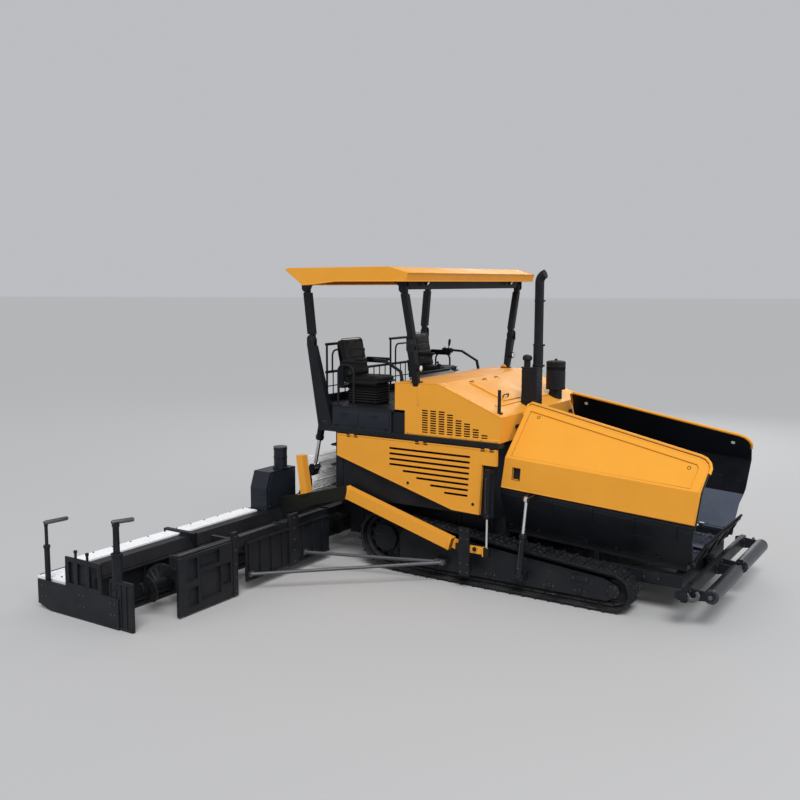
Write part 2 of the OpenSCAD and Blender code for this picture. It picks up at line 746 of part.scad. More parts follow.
module hopper_floor() {
  slat_count = 9;
  color(worn_steel) difference() {
    in_hopper(0) {
      block([-18, -hopper_hinge_y + 30, -110], [2120, hopper_hinge_y - 30, -85]);
      on_both() {
        block([-18, hopper_hinge_y - 50, -110], [2120, hopper_hinge_y - 34, -10]);
        for (h = HINGES) for (u = [h[0] - 56, h[1] + 6]) {
          block([u, hopper_hinge_y - 50, -40], [u + 50, hopper_hinge_y, -10]);
          pin_x(hopper_hinge_y, 0, hinge_tube_r, u, u + 50);
        }
        for (h = HINGES) pin_x(hopper_hinge_y, 0, hopper_pin_r, h[0] - 40, h[1] + 40);
        // Slats of the two conveyors
        for (i = [0 : slat_count - 1]) block([60 + i * 235, 30, -86], [100 + i * 235, 750, -60]);
      }
      block([-18, -20, -86], [2120, 20, -35]);
    }
    block([0, -900, 0], [bulkhead_x + 1, 900, 900]);
  }
}

frame_front_x = 2840;
tow_eye_r = 28;
tow_eye_z = 210;

module front_frame() {
  color(black) {
    on_both() {
      block([bulkhead_x, beam_half_w - 100, belly_z], [frame_front_x, beam_half_w, 440]);
      // Struts up to the hopper floor
      for (x = [900, 1800]) difference() {
        block([x, beam_half_w - 90, 439], [x + 60, hopper_hinge_y - 31, 720]);
        in_hopper(0) block([-200, -900, -110], [2400, 900, 400]);
      }
    }
    block([frame_front_x - 110, -beam_half_w + 99, belly_z], [frame_front_x, beam_half_w - 99, 440]);
    // Pivot post of the push beam
    translate([push_pivot_x, 0, push_beam_z0 - 40]) cylinder(r = 30, h = push_beam_h + 75);
    for (z = [push_beam_z0 - 40, push_beam_z0 + push_beam_h + 8])
      block([frame_front_x - 60, -60, z], [push_pivot_x + 40, 60, z + 27]);
    // Towing eye
    difference() {
      block([frame_front_x - 90, -80, tow_eye_z - 62], [frame_front_x - 60, 80, 301]);
      pin_x(0, tow_eye_z, tow_eye_r, frame_front_x - 100, frame_front_x - 50);
    }
  }
}

apron_hinge = [2910, 555];

module front_apron() {
  tip = [apron_hinge[0] + 150, apron_hinge[1] + 260];
  color(black) {
    pin_y(apron_hinge[0], apron_hinge[1], 20, -780, 780);
    slab_y([[apron_hinge[0] - 14, apron_hinge[1]], [tip[0] - 14, tip[1]], [tip[0] + 10, tip[1] - 6], [apron_hinge[0] + 14, apron_hinge[1]]], -780, 780);
  }
}

// Wing section: outer line y, h from the hinge up
lean_start = 860;
wall_foot = 420;
wing_out = 270;
wing_top = 1480;
function lean_y(h) = wing_out - (h - lean_start) * tan(wing_lean);
// Side outline along the hinge line: u, h
WING_SIDE = [
  [-25, -60], [-25, 488], [40, 1420], [75, 1452], [2150, 1187], [2215, 1170], [2262, 1135], [2288, 1085],
  [2285, 1030], [2243, 490], [2200, 300], [wing_len - 60, -60]
];

module wing_section(out0, out1) {
  // out0 and out1 are the distances outwards from the wing's inner face
  polygon([
    [out0 * 1.19, 0], [wing_out - wing_t + out0, wall_foot], [wing_out - wing_t + out0, lean_start],
    [lean_y(wing_top) - wing_t + out0, wing_top], [lean_y(wing_top) - wing_t + out1, wing_top],
    [wing_out - wing_t + out1, lean_start], [wing_out - wing_t + out1, wall_foot], [out1 * 1.19, 0]
  ]);
}

module wing_plate(out0, out1, side) {
  intersection() {
    translate([-60, 0, 0]) rotate([90, 0, 90]) linear_extrude(2500) wing_section(out0, out1);
    slab_y(side, -600, 600);
  }
}

eye_r = 34;
lug_pin_r = 14;
// The rod's eye keeps this much room round its pin, for the drift of the open linkage
drift_gap = 7;
lug_u = 391;
lug_eye = [450, 456];

module wing() {
  color(worn_steel) in_hopper() {
    difference() {
      union() {
        wing_plate(0, wing_t, WING_SIDE);
        for (h = HINGES) pin_x(0, 0, hinge_tube_r, h[0], h[1]);
        // Lug plates for the cylinder's eye
        for (u = [lug_u - 42, lug_u + 22]) slab_x([
          [wing_out - 3, 492], [lug_eye[0] + 20, lug_eye[1] + 30], [lug_eye[0] + 34, lug_eye[1]],
          [lug_eye[0] + 10, lug_eye[1] - 34], [wing_out - 3, lug_eye[1] - 30]
        ], u, u + 20);
        pin_x(lug_eye[0], lug_eye[1], lug_pin_r, lug_u - 30, lug_u + 30);
      }
      for (h = HINGES) pin_x(0, 0, hopper_pin_r + pin_gap, h[0] - 1, h[1] + 1);
      // Fixed hinge lugs turn in these gaps
      for (h = HINGES) for (u = [h[0] - 62, h[1]])
        block([u, -60, -60], [u + 62, 60, hinge_tube_r + 8]);
    }
  }
}

SKIN_SIDE = [
  [-10, 500], [52, 1405], [84, 1436], [2146, 1173], [2206, 1156], [2250, 1124], [2274, 1078], [2271, 1030],
  [2232, 500]
];
skin_t = 30;
// The pressed-in field of the skin
SKIN_FIELD = [[80, 880], [114, 1374], [2146, 1114], [2172, 1080], [2150, 880]];
field_depth = 16;

module wing_skin() {
  color(yellow_bright) in_hopper() difference() {
    wing_plate(wing_t, wing_t + skin_t, SKIN_SIDE);
    wing_plate(wing_t + skin_t - field_depth, wing_t + skin_t + 60, SKIN_FIELD);
    // Hand slot
    block([125, 200, 620], [215, 400, 755]);
  }
}

// Hopper cylinder: foot pin at y, h in the hopper's frame
hop_foot = [500, -436];
hop_len = norm(lug_eye - hop_foot);
hop_lean = atan2(lug_eye[0] - hop_foot[0], lug_eye[1] - hop_foot[1]);
foot_pin_r = 18;
hop_barrel_len = 500;
hop_rod_len = 515;
function hopper_foot_x() = 750 + lug_u * cos(hopper_tilt) + hop_foot[1] * sin(hopper_tilt);
function hopper_foot_y() = hopper_hinge_y + hop_foot[0];

// Children are drawn along +Z from the foot pin, with the pins along X
module on_hop_cylinder() {
  in_hopper() translate([lug_u, hop_foot[0], hop_foot[1]]) rotate([-hop_lean, 0, 0]) children();
}

module hopper_barrel() {
  color(black) on_hop_cylinder() difference() {
    union() {
      translate([0, 0, 20]) cylinder(r = hopper_barrel_r, h = hop_barrel_len - 20);
      translate([4 - hopper_barrel_r, 0, 0]) rotate([0, 90, 0]) cylinder(r = eye_r, h = 2 * hopper_barrel_r - 8);
    }
    translate([0, 0, 45]) cylinder(r = hopper_rod_r + pin_gap, h = hop_barrel_len);
    translate([-60, 0, 0]) rotate([0, 90, 0]) cylinder(r = foot_pin_r + pin_gap, h = 120);
  }
}

module hopper_rod() {
  color(chrome) on_hop_cylinder() difference() {
    union() {
      translate([0, 0, hop_len - hop_rod_len]) cylinder(r = hopper_rod_r, h = hop_rod_len - 25);
      translate([-18, 0, hop_len]) rotate([0, 90, 0]) cylinder(r = eye_r - 1, h = 36);
    }
    translate([-30, 0, hop_len]) rotate([0, 90, 0]) cylinder(r = lug_pin_r + drift_gap, h = 60);
  }
}

// ---- Push rollers ----

push_pivot_x = 2900;
push_beam_z0 = 295;
push_beam_h = 135;
push_beam_top = push_beam_z0 + push_beam_h;
push_roller_x = machine_len / 2 - push_roller_r;

module push_beam() {
  color(black) difference() {
    union() {
      block([push_pivot_x + 45, -push_beam_half_w, push_beam_z0], [push_pivot_x + 105, push_beam_half_w, push_beam_top]);
      translate([push_pivot_x, 0, push_beam_z0]) cylinder(r = 60, h = push_beam_h);
      block([push_pivot_x, -55, push_beam_z0], [push_pivot_x + 50, 55, push_beam_top]);
      on_both() {
        for (y = [push_roller_y0 - 30, push_roller_y1 + 8]) slab_y([
          [push_pivot_x + 100, push_beam_z0], [push_pivot_x + 100, push_beam_top], [push_roller_x + 30, push_roller_z + 40],
          [push_roller_x + 40, push_roller_z], [push_roller_x + 30, push_roller_z - 40]
        ], y, y + 22);
        slab_y([[push_pivot_x + 46, 310], [push_pivot_x - 20, 330], [push_pivot_x - 20, 400], [push_pivot_x + 46, 420]],
          push_beam_half_w - 25, push_beam_half_w);
      }
    }
    translate([push_pivot_x, 0, push_beam_z0 - 5]) cylinder(r = 30 + 2 * pin_gap, h = push_beam_h + 10);
    on_both() pin_y(push_roller_x, push_roller_z, 25 + pin_gap, push_roller_y0 - 40, push_roller_y1 + 40);
  }
}

module push_roller() {
  color(roller_grey) {
    pin_y(push_roller_x, push_roller_z, push_roller_r, push_roller_y0, push_roller_y1);
    pin_y(push_roller_x, push_roller_z, 25, push_roller_y0 - 26, push_roller_y1 + 26);
  }
}

// ---- Tow points and tow arms ----

guide_x = tow_pin_x + 14;
arm_in = tow_arm_y - tow_arm_t / 2;
arm_out = tow_arm_y + tow_arm_t / 2;
carriage_y = [arm_in + 32, arm_in + 64];
guide_y = [carriage_y[1] + 5, carriage_y[1] + 27];
level_z = [873, 1450];

module tow_guides() {
  color(black) on_both() {
    // Outer plate and its foot on the track frame
    block([guide_x, guide_y[0], 157], [guide_x + 140, guide_y[1], 737]);
    difference() {
      translate([level_x, tow_arm_y, level_z[0]]) cylinder(r = level_barrel_r, h = level_z[1] - level_z[0]);
      translate([level_x, tow_arm_y, level_z[0] - 1]) cylinder(r = level_rod_r + pin_gap, h = 500);
    }
  }
}

module tow_blocks() {
  color(yellow) on_both() {
    block([tow_pin_x - 45, carriage_y[0], tow_pin_z - 42], [level_x + 40, carriage_y[1], tow_pin_z + 42]);
    block([level_x - 45, carriage_y[0] - 1, tow_pin_z - 60], [level_x + 40, tow_arm_y + 28, tow_pin_z + 46]);
    pin_y(tow_pin_x, tow_pin_z, tow_pin_r, arm_in + 2, carriage_y[0] + 1);
    translate([level_x, tow_arm_y, tow_pin_z + 40]) cylinder(r = level_rod_r, h = level_z[0] + 170 - tow_pin_z - 40);
  }
}

arm_angle = 16;
arm_len = 1660;
// The knee from the arm's rear end down to the screed's front: x, z
KNEE = [
  [-1150, 968], [-1270, 1035], [-1930, 850], [screed_front_x - 25, 760], [screed_front_x - 60, 700],
  [screed_front_x - 60, screed_top_z], [screed_front_x, screed_top_z - 120], [screed_front_x, 300],
  [screed_front_x + 60, 300], [screed_front_x + 110, 560], [-1750, 735], [-1230, 860]
];
// The upright of the angle spindle on the knee
UPRIGHT = [[-1880, 845], [-1965, 1345], [-2060, 1345], [-1985, 800]];

module tow_arm() {
  color(yellow) difference() {
    union() {
      translate([tow_pin_x, 0, tow_pin_z]) rotate([0, -180 + arm_angle, 0]) {
        // Thin tip beside the carriage, then the full box
        translate([0, arm_in, 0]) rotate([-90, 0, 0]) cylinder(r = 60, h = 27);
        block([0, arm_in, -60], [110, arm_in + 27, 60]);
        block([100, arm_in, -tow_arm_h / 2], [arm_len, arm_out, tow_arm_h / 2]);
      }
      slab_y(KNEE, arm_in + 15, arm_out - 15);
      slab_y(UPRIGHT, arm_in, arm_out);
    }
    pin_y(tow_pin_x, tow_pin_z, tow_pin_r + pin_gap, arm_in - 5, arm_in + 40);
  }
}

// ---- Screed ----

SCREED = [
  [screed_front_x, sole_t], [screed_front_x, screed_top_z - 120], [screed_front_x - 60, screed_top_z],
  [screed_rear_x + 40, screed_top_z], [screed_rear_x, screed_top_z - 60], [screed_rear_x, sole_t]
];
gate_in = screed_w / 2 - end_gate_t;

module screed_main() {
  color(black) {
    slab_y(SCREED, -screed_main_half_w, screed_main_half_w);
    // Lugs of the lift cylinders
    on_both() for (y = [lift_y - lift_gap - 20, lift_y + lift_gap]) slab_y([
      [screed_front_x - 120, screed_top_z - 1], [screed_front_x - 55, screed_top_z - 1], [lift_eye[0] + 40, lift_eye[1] - 20],
      [lift_eye[0] + 30, lift_eye[1] + 35], [lift_eye[0] - 30, lift_eye[1] + 35]
    ], y, y + 20);
    on_both() pin_y(lift_eye[0], lift_eye[1], lift_pin_r, lift_y - lift_gap - 1, lift_y + lift_gap + 1);
  }
}

module screed_outer() {
  color(black) {
    slab_y(SCREED, screed_main_half_w + 1, screed_joint_y - 30);
    slab_y(SCREED, screed_joint_y + 30, gate_in - 5);
    // Runners that the end gate slides on
    for (x = [screed_rear_x + 20, screed_front_x - 80])
      block([x, gate_in - 6, 60], [x + 60, gate_in - seat_gap, 320]);
    slab_y([
      [screed_front_x + 15, sole_t + 5], [screed_front_x + 15, screed_top_z + 40], [screed_rear_x - 15, screed_top_z + 40],
      [screed_rear_x - 15, sole_t + 5]
    ], screed_joint_y - 31, screed_joint_y + 31);
  }
}

module sole_plates() {
  color(worn_steel) {
    block([screed_rear_x, -screed_main_half_w, 0], [screed_front_x + 10, screed_main_half_w, sole_t]);
    on_both() {
      block([screed_rear_x, screed_main_half_w + 1, 0], [screed_front_x + 10, screed_joint_y - 2, sole_t]);
      block([screed_rear_x, screed_joint_y + 2, 0], [screed_front_x + 10, gate_in - 5, sole_t]);
    }
  }
}

module walkways() {
  color(white) on_both() {
    block([-machine_len / 2, 5, walkway_z - walkway_t], [screed_rear_x - 16, gate_in - 60, walkway_z]);
    for (q = [[1660, screed_joint_y - 35], [screed_joint_y + 35, gate_in - 10]])
      block([screed_rear_x + 45, q[0], screed_top_z], [screed_front_x - 200, q[1], screed_top_z + 20]);
    // Brackets under the rear walkway
    for (y = [300, 1300, 2300, 3300, 4300])
      block([screed_rear_x - 300, y, walkway_z - walkway_t - 60], [screed_rear_x, y + 40, walkway_z - walkway_t]);
  }
}

// The shield's bow in X and Z, r from its middle
function bow(a, r) = [-2365 + r * cos(a), 896 + 1.2 * r * sin(a)];

module heat_shield() {
  shield_r = 280;
  shield_t = 10;
  shield_half_w = 1000;
  bracket_y = 740;
  color(chrome) {
    difference() {
      slab_y(concat(
        [for (a = [-20 : 10 : 80]) bow(a, shield_r)], [for (a = [80 : -10 : -20]) bow(a, shield_r - shield_t)]
      ), -shield_half_w, shield_half_w);
      // Room for the lift cylinders
      on_both() block([-2400, lift_y - lift_gap - 35, 1000], [-2000, shield_half_w + 1, 1300]);
    }
    on_both() slab_y(concat(
      [[screed_front_x - 130, screed_top_z], [screed_front_x - 61, screed_top_z]],
      [for (a = [-20 : 10 : 40]) bow(a, shield_r - shield_t / 2)]
    ), bracket_y, bracket_y + 20);
  }
}

module drive_boxes() {
  box_x = [screed_front_x - 340, screed_front_x - 70];
  color(blue_grey) on_both() {
    slab_x([[1020, screed_top_z], [1020, 1110], [1540, 1110], [1620, 900], [1620, screed_top_z]], box_x[0], box_x[1]);
    translate([-2450, 1230, 1109]) cylinder(r = 88, h = 290);
  }
}

module end_gate() {
  y0 = gate_in;
  y1 = screed_w / 2;
  color(black) {
    difference() {
      union() {
        slab_y([[-3200, 60], [-2996, 0], [-1906, 0], [-1906, 330], [-3200, 330]], y0, y1);
        slab_y([[-2721, 325], [-2158, 325], [-2158, 660], [-2721, 660]], y0, y1);
      }
      block([-2670, y0 - 1, 375], [-2210, y1 + 1, 610]);
    }
    // Ribbed guard in front
    slab_y([[-2043, 0], [-1714, 0], [-1714, 520], [-2043, 520]], y0 - 30, y0 + 1);
    // Spindles in sleeves: x, distance in from the plate, low z, sleeve's top, high z, sleeve's radius,
    // handle's reach along X and Y
    for (q = [[-3075, 25, 250, 720, 970, 30, [-3, 35], [-260, 20]], [-1970, 40, 420, 800, 1130, 55, [-16, 70], [-180, 40]]]) {
      translate([q[0], y0 - q[1], q[2]]) cylinder(r = q[5], h = q[3] - q[2]);
      translate([q[0], y0 - q[1], q[2]]) cylinder(r = q[5] * 0.6, h = q[4] - q[2]);
      bar([q[0] + q[6][0], y0 - q[1] + q[7][1], q[4]], [q[0] + q[6][1], y0 - q[1] + q[7][0], q[4]], 14);
    }
  }
}

// ---- Lift cylinders of the screed ----

lift_top = [-1960, 1900];
lift_eye = [-2125, 1120];
lift_len = norm(lift_top - lift_eye);
lift_barrel_len = 420;
lift_rod_len = 415;
lift_pin_r = 16;
lift_gap = lift_barrel_r + 6;

// Children are drawn along +Z, downwards from the top pin
module on_lift_cylinder() {
  translate([lift_top[0], lift_y, lift_top[1]])
    rotate([0, 180 + atan2(lift_top[0] - lift_eye[0], lift_top[1] - lift_eye[1]), 0]) children();
}

module lift_barrels() {
  color(black) on_both() on_lift_cylinder() difference() {
    union() {
      translate([0, 0, 20]) cylinder(r = lift_barrel_r, h = lift_barrel_len - 20);
      rotate([90, 0, 0]) translate([0, 0, 3 - lift_gap]) cylinder(r = 40, h = 2 * lift_gap - 6);
    }
    translate([0, 0, 50]) cylinder(r = lift_rod_r + pin_gap, h = lift_barrel_len);
    rotate([90, 0, 0]) translate([0, 0, -60]) cylinder(r = 20 + pin_gap, h = 120);
  }
}

module lift_rods() {
  color(chrome) on_both() on_lift_cylinder() difference() {
    union() {
      translate([0, 0, lift_len - lift_rod_len]) cylinder(r = lift_rod_r, h = lift_rod_len - 25);
      rotate([90, 0, 0]) translate([0, lift_len, 3 - lift_gap]) cylinder(r = 40, h = 2 * lift_gap - 6);
    }
    rotate([90, 0, 0]) translate([0, lift_len, -60]) cylinder(r = lift_pin_r + drift_gap + 3, h = 120);
  }
}

// ---- Augers and their frame ----

brace_foot_y = 1280;
auger_beam_x = -1700;
auger_beam_z = 570;
auger_beam_w = 100;
inner_plate_t = 15;
tunnel_end_y = 3930;
auger_joint = 45;

module auger_frame() {
  color(black) {
    difference() {
      union() {
        // Cross beam with arms from the tractor
        block([auger_beam_x - auger_beam_w / 2, -tunnel_end_y, auger_beam_z],
          [auger_beam_x + auger_beam_w / 2, tunnel_end_y, auger_beam_z + auger_beam_w]);
        on_both() block([auger_beam_x, tunnel_half_w + 30, auger_beam_z + 5], [tractor_rear_x, beam_half_w, 800]);
        // Middle gear case and outer hangers
        for (y = [-auger_joint, screed_joint_y - 25, -screed_joint_y - 25]) {
          w = y == -auger_joint ? 2 * auger_joint : 50;
          block([auger_x - 60, y, auger_z - 60], [auger_x + 60, y + w, auger_beam_z + auger_beam_w - 10]);
          block([auger_x, y, auger_beam_z + 10], [auger_beam_x, y + w, auger_beam_z + auger_beam_w - 10]);
        }
      }
      on_both() pin_y(auger_x, auger_z, auger_shaft_r + 1, screed_joint_y - 60, screed_joint_y + 60);
    }
  }
}

// Braces: x at the front foot, y and z at the tunnel plate
BRACES = [[95, 2780, 200], [20, 1770, 220]];

module auger_braces() {
  rear_x = auger_beam_x + auger_beam_w / 2 + inner_plate_t;
  color(roller_grey) on_both() for (b = BRACES) {
    bar([b[0], brace_foot_y + 25, 250], [rear_x + 20, b[1], b[2]], 20);
    block([b[0] - 28, brace_foot_y, 222], [b[0] + 28, brace_foot_y + 50, 278]);
    block([rear_x, b[1] - 30, b[2] - 30], [rear_x + 30, b[1] + 30, b[2] + 30]);
  }
}

// Pressed-in fields of the outer plate: low y, high y, low z, high z
PLATE_FIELDS = [
  [3130, 3270, 200, 440], [3290, 3600, 120, 440], [3640, 3780, 90, 300], [3650, 3800, 380, 620], [3310, 3610, 480, 630]
];

module tunnel_plates() {
  x0 = auger_beam_x + auger_beam_w / 2;
  color(black) on_both() {
    block([x0, 1250, 120], [x0 + inner_plate_t, 2850, auger_beam_z + 30]);
    difference() {
      block([x0, 3100, 20], [x0 + 40, tunnel_end_y, auger_beam_z + auger_beam_w - 10]);
      for (q = PLATE_FIELDS) block([x0 + 12, q[0], q[2]], [x0 + 50, q[1], q[3]]);
    }
  }
}

module flight(y0, y1) {
  turns = (y1 - y0) / auger_pitch;
  n = ceil(turns * 14);
  section = [[auger_shaft_r + 1.5, -7], [auger_r, -7], [auger_r, 7], [auger_shaft_r + 1.5, 7]];
  points = [for (i = [0 : n]) each [for (q = section) let(a = 360 * turns * i / n)
    [auger_x + q[0] * cos(a), y0 + (y1 - y0) * i / n + q[1], auger_z + q[0] * sin(a)]]];
  sides = [for (i = [0 : n - 1], k = [0 : 3]) let(a = 4 * i + k, b = 4 * i + (k + 1) % 4)
    each [[a, a + 4, b + 4], [a, b + 4, b]]];
  polyhedron(points, concat(sides, [[0, 1, 2], [0, 2, 3], [4 * n + 2, 4 * n + 1, 4 * n], [4 * n + 3, 4 * n + 2, 4 * n]]));
}

module auger() {
  color(worn_steel) {
    pin_y(auger_x, auger_z, auger_shaft_r, auger_joint + 5, auger_end_y);
    flight(auger_joint + 30, screed_joint_y - 60);
    flight(screed_joint_y + 60, auger_end_y);
  }
}

// Bracket feet that reach out through the open side of the loop: x, width, low z, high z, outer y
FEET = [
  [tow_pin_x + 54, 60, 200, 340, guide_y[0]],
  [hopper_foot_x() - 60, 120, 205, 315, hopper_foot_y() - hopper_barrel_r - 20],
  [-20, 155, 215, 285, brace_foot_y]
];

chassis();
tractor_body();
deck_frame();
side_boxes();
platform_floor();
engine_block();
engine_hood();
on(-1) track();  // track_right
on(1) track();  // track_left
on(-1) track_frame();  // track_frame_right
on(1) track_frame();  // track_frame_left
track_wheels();
exhaust();
air_precleaner();
seat_stands();
on(-1) seat_pad();  // seat_pad_right
on(1) seat_pad();  // seat_pad_left
control_desk();
guard_rails();
canopy_stands();
color(black) on_both() fold_post(POSTS[0]);  // canopy_posts_rear
color(black) on_both() fold_post(POSTS[1]);  // canopy_posts_front
canopy_frame();
color(yellow) roof_shell();  // canopy_roof
on(-1) side_door();  // side_door_right
on(1) side_door();  // side_door_left
hopper_floor();
front_frame();
front_apron();
on(-1) wing();  // wing_right
on(1) wing();  // wing_left
on(-1) wing_skin();  // wing_skin_right
on(1) wing_skin();  // wing_skin_left
on(-1) hopper_barrel();  // hopper_barrel_right
on(1) hopper_barrel();  // hopper_barrel_left
on(-1) hopper_rod();  // hopper_rod_right
on(1) hopper_rod();  // hopper_rod_left
push_beam();
on(-1) push_roller();  // push_roller_right
on(1) push_roller();  // push_roller_left
tow_guides();
tow_blocks();
on(-1) tow_arm();  // tow_arm_right
on(1) tow_arm();  // tow_arm_left
screed_main();
on(-1) screed_outer();  // screed_outer_right
on(1) screed_outer();  // screed_outer_left
sole_plates();
walkways();
heat_shield();
drive_boxes();
on(-1) end_gate();  // end_gate_right
on(1) end_gate();  // end_gate_left
lift_barrels();
lift_rods();
auger_frame();
auger_braces();
tunnel_plates();
on(-1) auger();  // auger_right
on(1) auger();  // auger_left
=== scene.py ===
import math

import bmesh
import bpy
from math import cos, radians, sin, tau
from mathutils import Matrix, Vector


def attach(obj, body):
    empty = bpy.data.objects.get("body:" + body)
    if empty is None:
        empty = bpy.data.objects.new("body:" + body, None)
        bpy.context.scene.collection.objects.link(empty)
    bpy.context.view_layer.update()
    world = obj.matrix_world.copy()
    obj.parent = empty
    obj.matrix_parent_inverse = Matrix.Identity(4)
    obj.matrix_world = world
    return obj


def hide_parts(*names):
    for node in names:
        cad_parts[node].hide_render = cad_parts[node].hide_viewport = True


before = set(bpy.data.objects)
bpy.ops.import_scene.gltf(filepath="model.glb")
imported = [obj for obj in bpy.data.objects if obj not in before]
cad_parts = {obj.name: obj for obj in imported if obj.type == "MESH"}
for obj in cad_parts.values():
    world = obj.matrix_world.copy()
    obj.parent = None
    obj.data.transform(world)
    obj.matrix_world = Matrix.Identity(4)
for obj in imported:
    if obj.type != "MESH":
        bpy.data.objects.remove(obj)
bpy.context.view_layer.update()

print("paver: frame loaded,", len(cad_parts), "nodes")


viewSettings = {
    "place": (5.644, -10.921, 3.6),
    "azimuth": 32.625,  # degrees round the machine
    "elevation": 7.148,
    "roll": 0.17,
    "lens": 42.91,
}


def turned(degrees, axis):
    return Matrix.Rotation(radians(degrees), 4, axis)


def newObject(name, data):
    thing = bpy.data.objects.new(name, data)
    bpy.context.scene.collection.objects.link(thing)
    return thing


def makeCamera(s):
    a, e = radians(s["azimuth"]), radians(s["elevation"])
    back = Vector((sin(a) * cos(e), -cos(a) * cos(e), sin(e)))
    data = bpy.data.cameras.new("paverCamera")
    data.lens = s["lens"]
    data.sensor_width = 36.0
    data.clip_end = 200.0
    camera = newObject("paverCamera", data)
    camera.location = s["place"]
    turn = (-back).to_track_quat("-Z", "Y").to_matrix().to_4x4()
    camera.rotation_euler = (turn @ turned(s["roll"], "Z")).to_euler()
    bpy.context.scene.camera = camera


lightSettings = {
    # name: place, aimed at, size, power
    "keySoftbox": ((6.5, -7.5, 11.0), (0.0, 0.0, 1.2), 7.0, 330),
    "frontSoftbox": ((13.0, 1.0, 5.0), (0.5, 0.0, 1.2), 6.0, 190),
    "rearSoftbox": ((-2.5, 12.0, 7.6), (0.3, 0.0, 2.0), 7.0, 420),
    "sideSoftbox": ((-8.0, -12.0, 6.0), (-2.2, 0.0, 1.0), 5.0, 80),
    "sunTurn": (38.0, 0.0, 36.0),  # degrees: down from overhead, then round
    "sunSpread": 28.0,
    "sunStrength": 2.1,
    "sky": (0.93, 0.95, 1.0),
    "skyStrength": 0.54,
    "floor": (0.43, 0.43, 0.43),
}


def makeStage(s):
    for name in ("keySoftbox", "frontSoftbox", "rearSoftbox", "sideSoftbox"):
        place, aim, size, power = s[name]
        data = bpy.data.lights.new(name, "AREA")
        data.size = size
        data.energy = power
        lamp = newObject(name, data)
        lamp.location = place
        lamp.rotation_euler = (Vector(aim) - Vector(place)).to_track_quat("-Z", "Y").to_euler()
    sun = bpy.data.lights.new("broadSun", "SUN")
    sun.angle = radians(s["sunSpread"])
    sun.energy = s["sunStrength"]
    lamp = newObject("broadSun", sun)
    lamp.rotation_euler = [radians(v) for v in s["sunTurn"]]
    world = bpy.data.worlds.new("studio")
    world.use_nodes = True
    world.node_tree.nodes["Background"].inputs["Color"].default_value = (*s["sky"], 1)
    world.node_tree.nodes["Background"].inputs["Strength"].default_value = s["skyStrength"]
    bpy.context.scene.world = world
    bpy.context.scene.view_settings.view_transform = "Standard"
    mesh = bpy.data.meshes.new("studioFloor")
    bm = bmesh.new()
    bmesh.ops.create_grid(bm, x_segments=4, y_segments=4, size=400)
    bm.to_mesh(mesh)
    bm.free()
    floor = newObject("studioFloor", mesh)
    floor.location.z = -0.001
    material = bpy.data.materials.new("studioFloor")
    material.use_nodes = True
    shader = material.node_tree.nodes["Principled BSDF"]
    shader.inputs["Base Color"].default_value = (*s["floor"], 1)
    shader.inputs["Roughness"].default_value = 0.9
    mesh.materials.append(material)


makeCamera(viewSettings)
makeStage(lightSettings)
print("paver: camera, floor and lights made")


def place(tree, kind, sockets=None, **settings):
    # Adds a node; a socket given as a value links, anything else is set
    node = tree.nodes.new("ShaderNode" + kind)
    for key, value in settings.items():
        setattr(node, key, value)
    for key, value in (sockets or {}).items():
        if isinstance(value, bpy.types.NodeSocket):
            tree.links.new(value, node.inputs[key])
        else:
            node.inputs[key].default_value = value
    return node


def mathOf(tree, operation, a, b=0.0, clamp=False):
    return place(tree, "Math", {0: a, 1: b}, operation=operation, use_clamp=clamp).outputs[0]


def times(tree, a, b, clamp=False):
    return mathOf(tree, "MULTIPLY", a, b, clamp)


def split(tree, vector):
    return place(tree, "SeparateXYZ", {0: vector}).outputs


def ramp(tree, value, low, high, toLow=0.0, toHigh=1.0):
    node = place(tree, "MapRange", {"Value": value, "From Min": low, "From Max": high, "To Min": toLow,
        "To Max": toHigh})
    return node.outputs["Result"]


def blendColour(tree, share, a, b):
    a, b = [v if isinstance(v, bpy.types.NodeSocket) else (*v, 1) for v in (a, b)]
    return place(tree, "Mix", {0: share, 6: a, 7: b}, data_type="RGBA").outputs[2]


def noise(tree, vector, scale, detail=4.0, roughness=0.55):
    return place(tree, "TexNoise", {"Vector": vector, "Scale": scale, "Detail": detail,
        "Roughness": roughness}).outputs["Fac"]


def newGroup(name, ins, outs):
    tree = bpy.data.node_groups.new(name, "ShaderNodeTree")
    for label, kind, value in ins:
        socket = tree.interface.new_socket(label, in_out="INPUT", socket_type="NodeSocket" + kind)
        if value is not None:
            socket.default_value = value
    for label, kind in outs:
        tree.interface.new_socket(label, in_out="OUTPUT", socket_type="NodeSocket" + kind)
    return tree, tree.nodes.new("NodeGroupInput").outputs, tree.nodes.new("NodeGroupOutput").inputs


def useGroup(tree, group, sockets):
    return place(tree, "Group", sockets, node_tree=group).outputs


def addBump(tree, shader, sockets):
    bump = place(tree, "Bump", sockets)
    tree.links.new(bump.outputs["Normal"], shader.inputs["Normal"])


def softEdgeGroup():
    # Rounds the light on hard plate edges and marks where they rub bare
    tree, ins, outs = newGroup("softEdge", [("Radius", "Float", 0.006)],
        [("Normal", "Vector"), ("Edge", "Float")])
    rounded = place(tree, "Bevel", {"Radius": ins["Radius"]}, samples=4)
    true = place(tree, "NewGeometry")
    dot = place(tree, "VectorMath", {0: rounded.outputs["Normal"], 1: true.outputs["Normal"]},
        operation="DOT_PRODUCT")
    tree.links.new(rounded.outputs["Normal"], outs["Normal"])
    tree.links.new(ramp(tree, dot.outputs["Value"], 0.995, 0.86), outs["Edge"])
    return tree


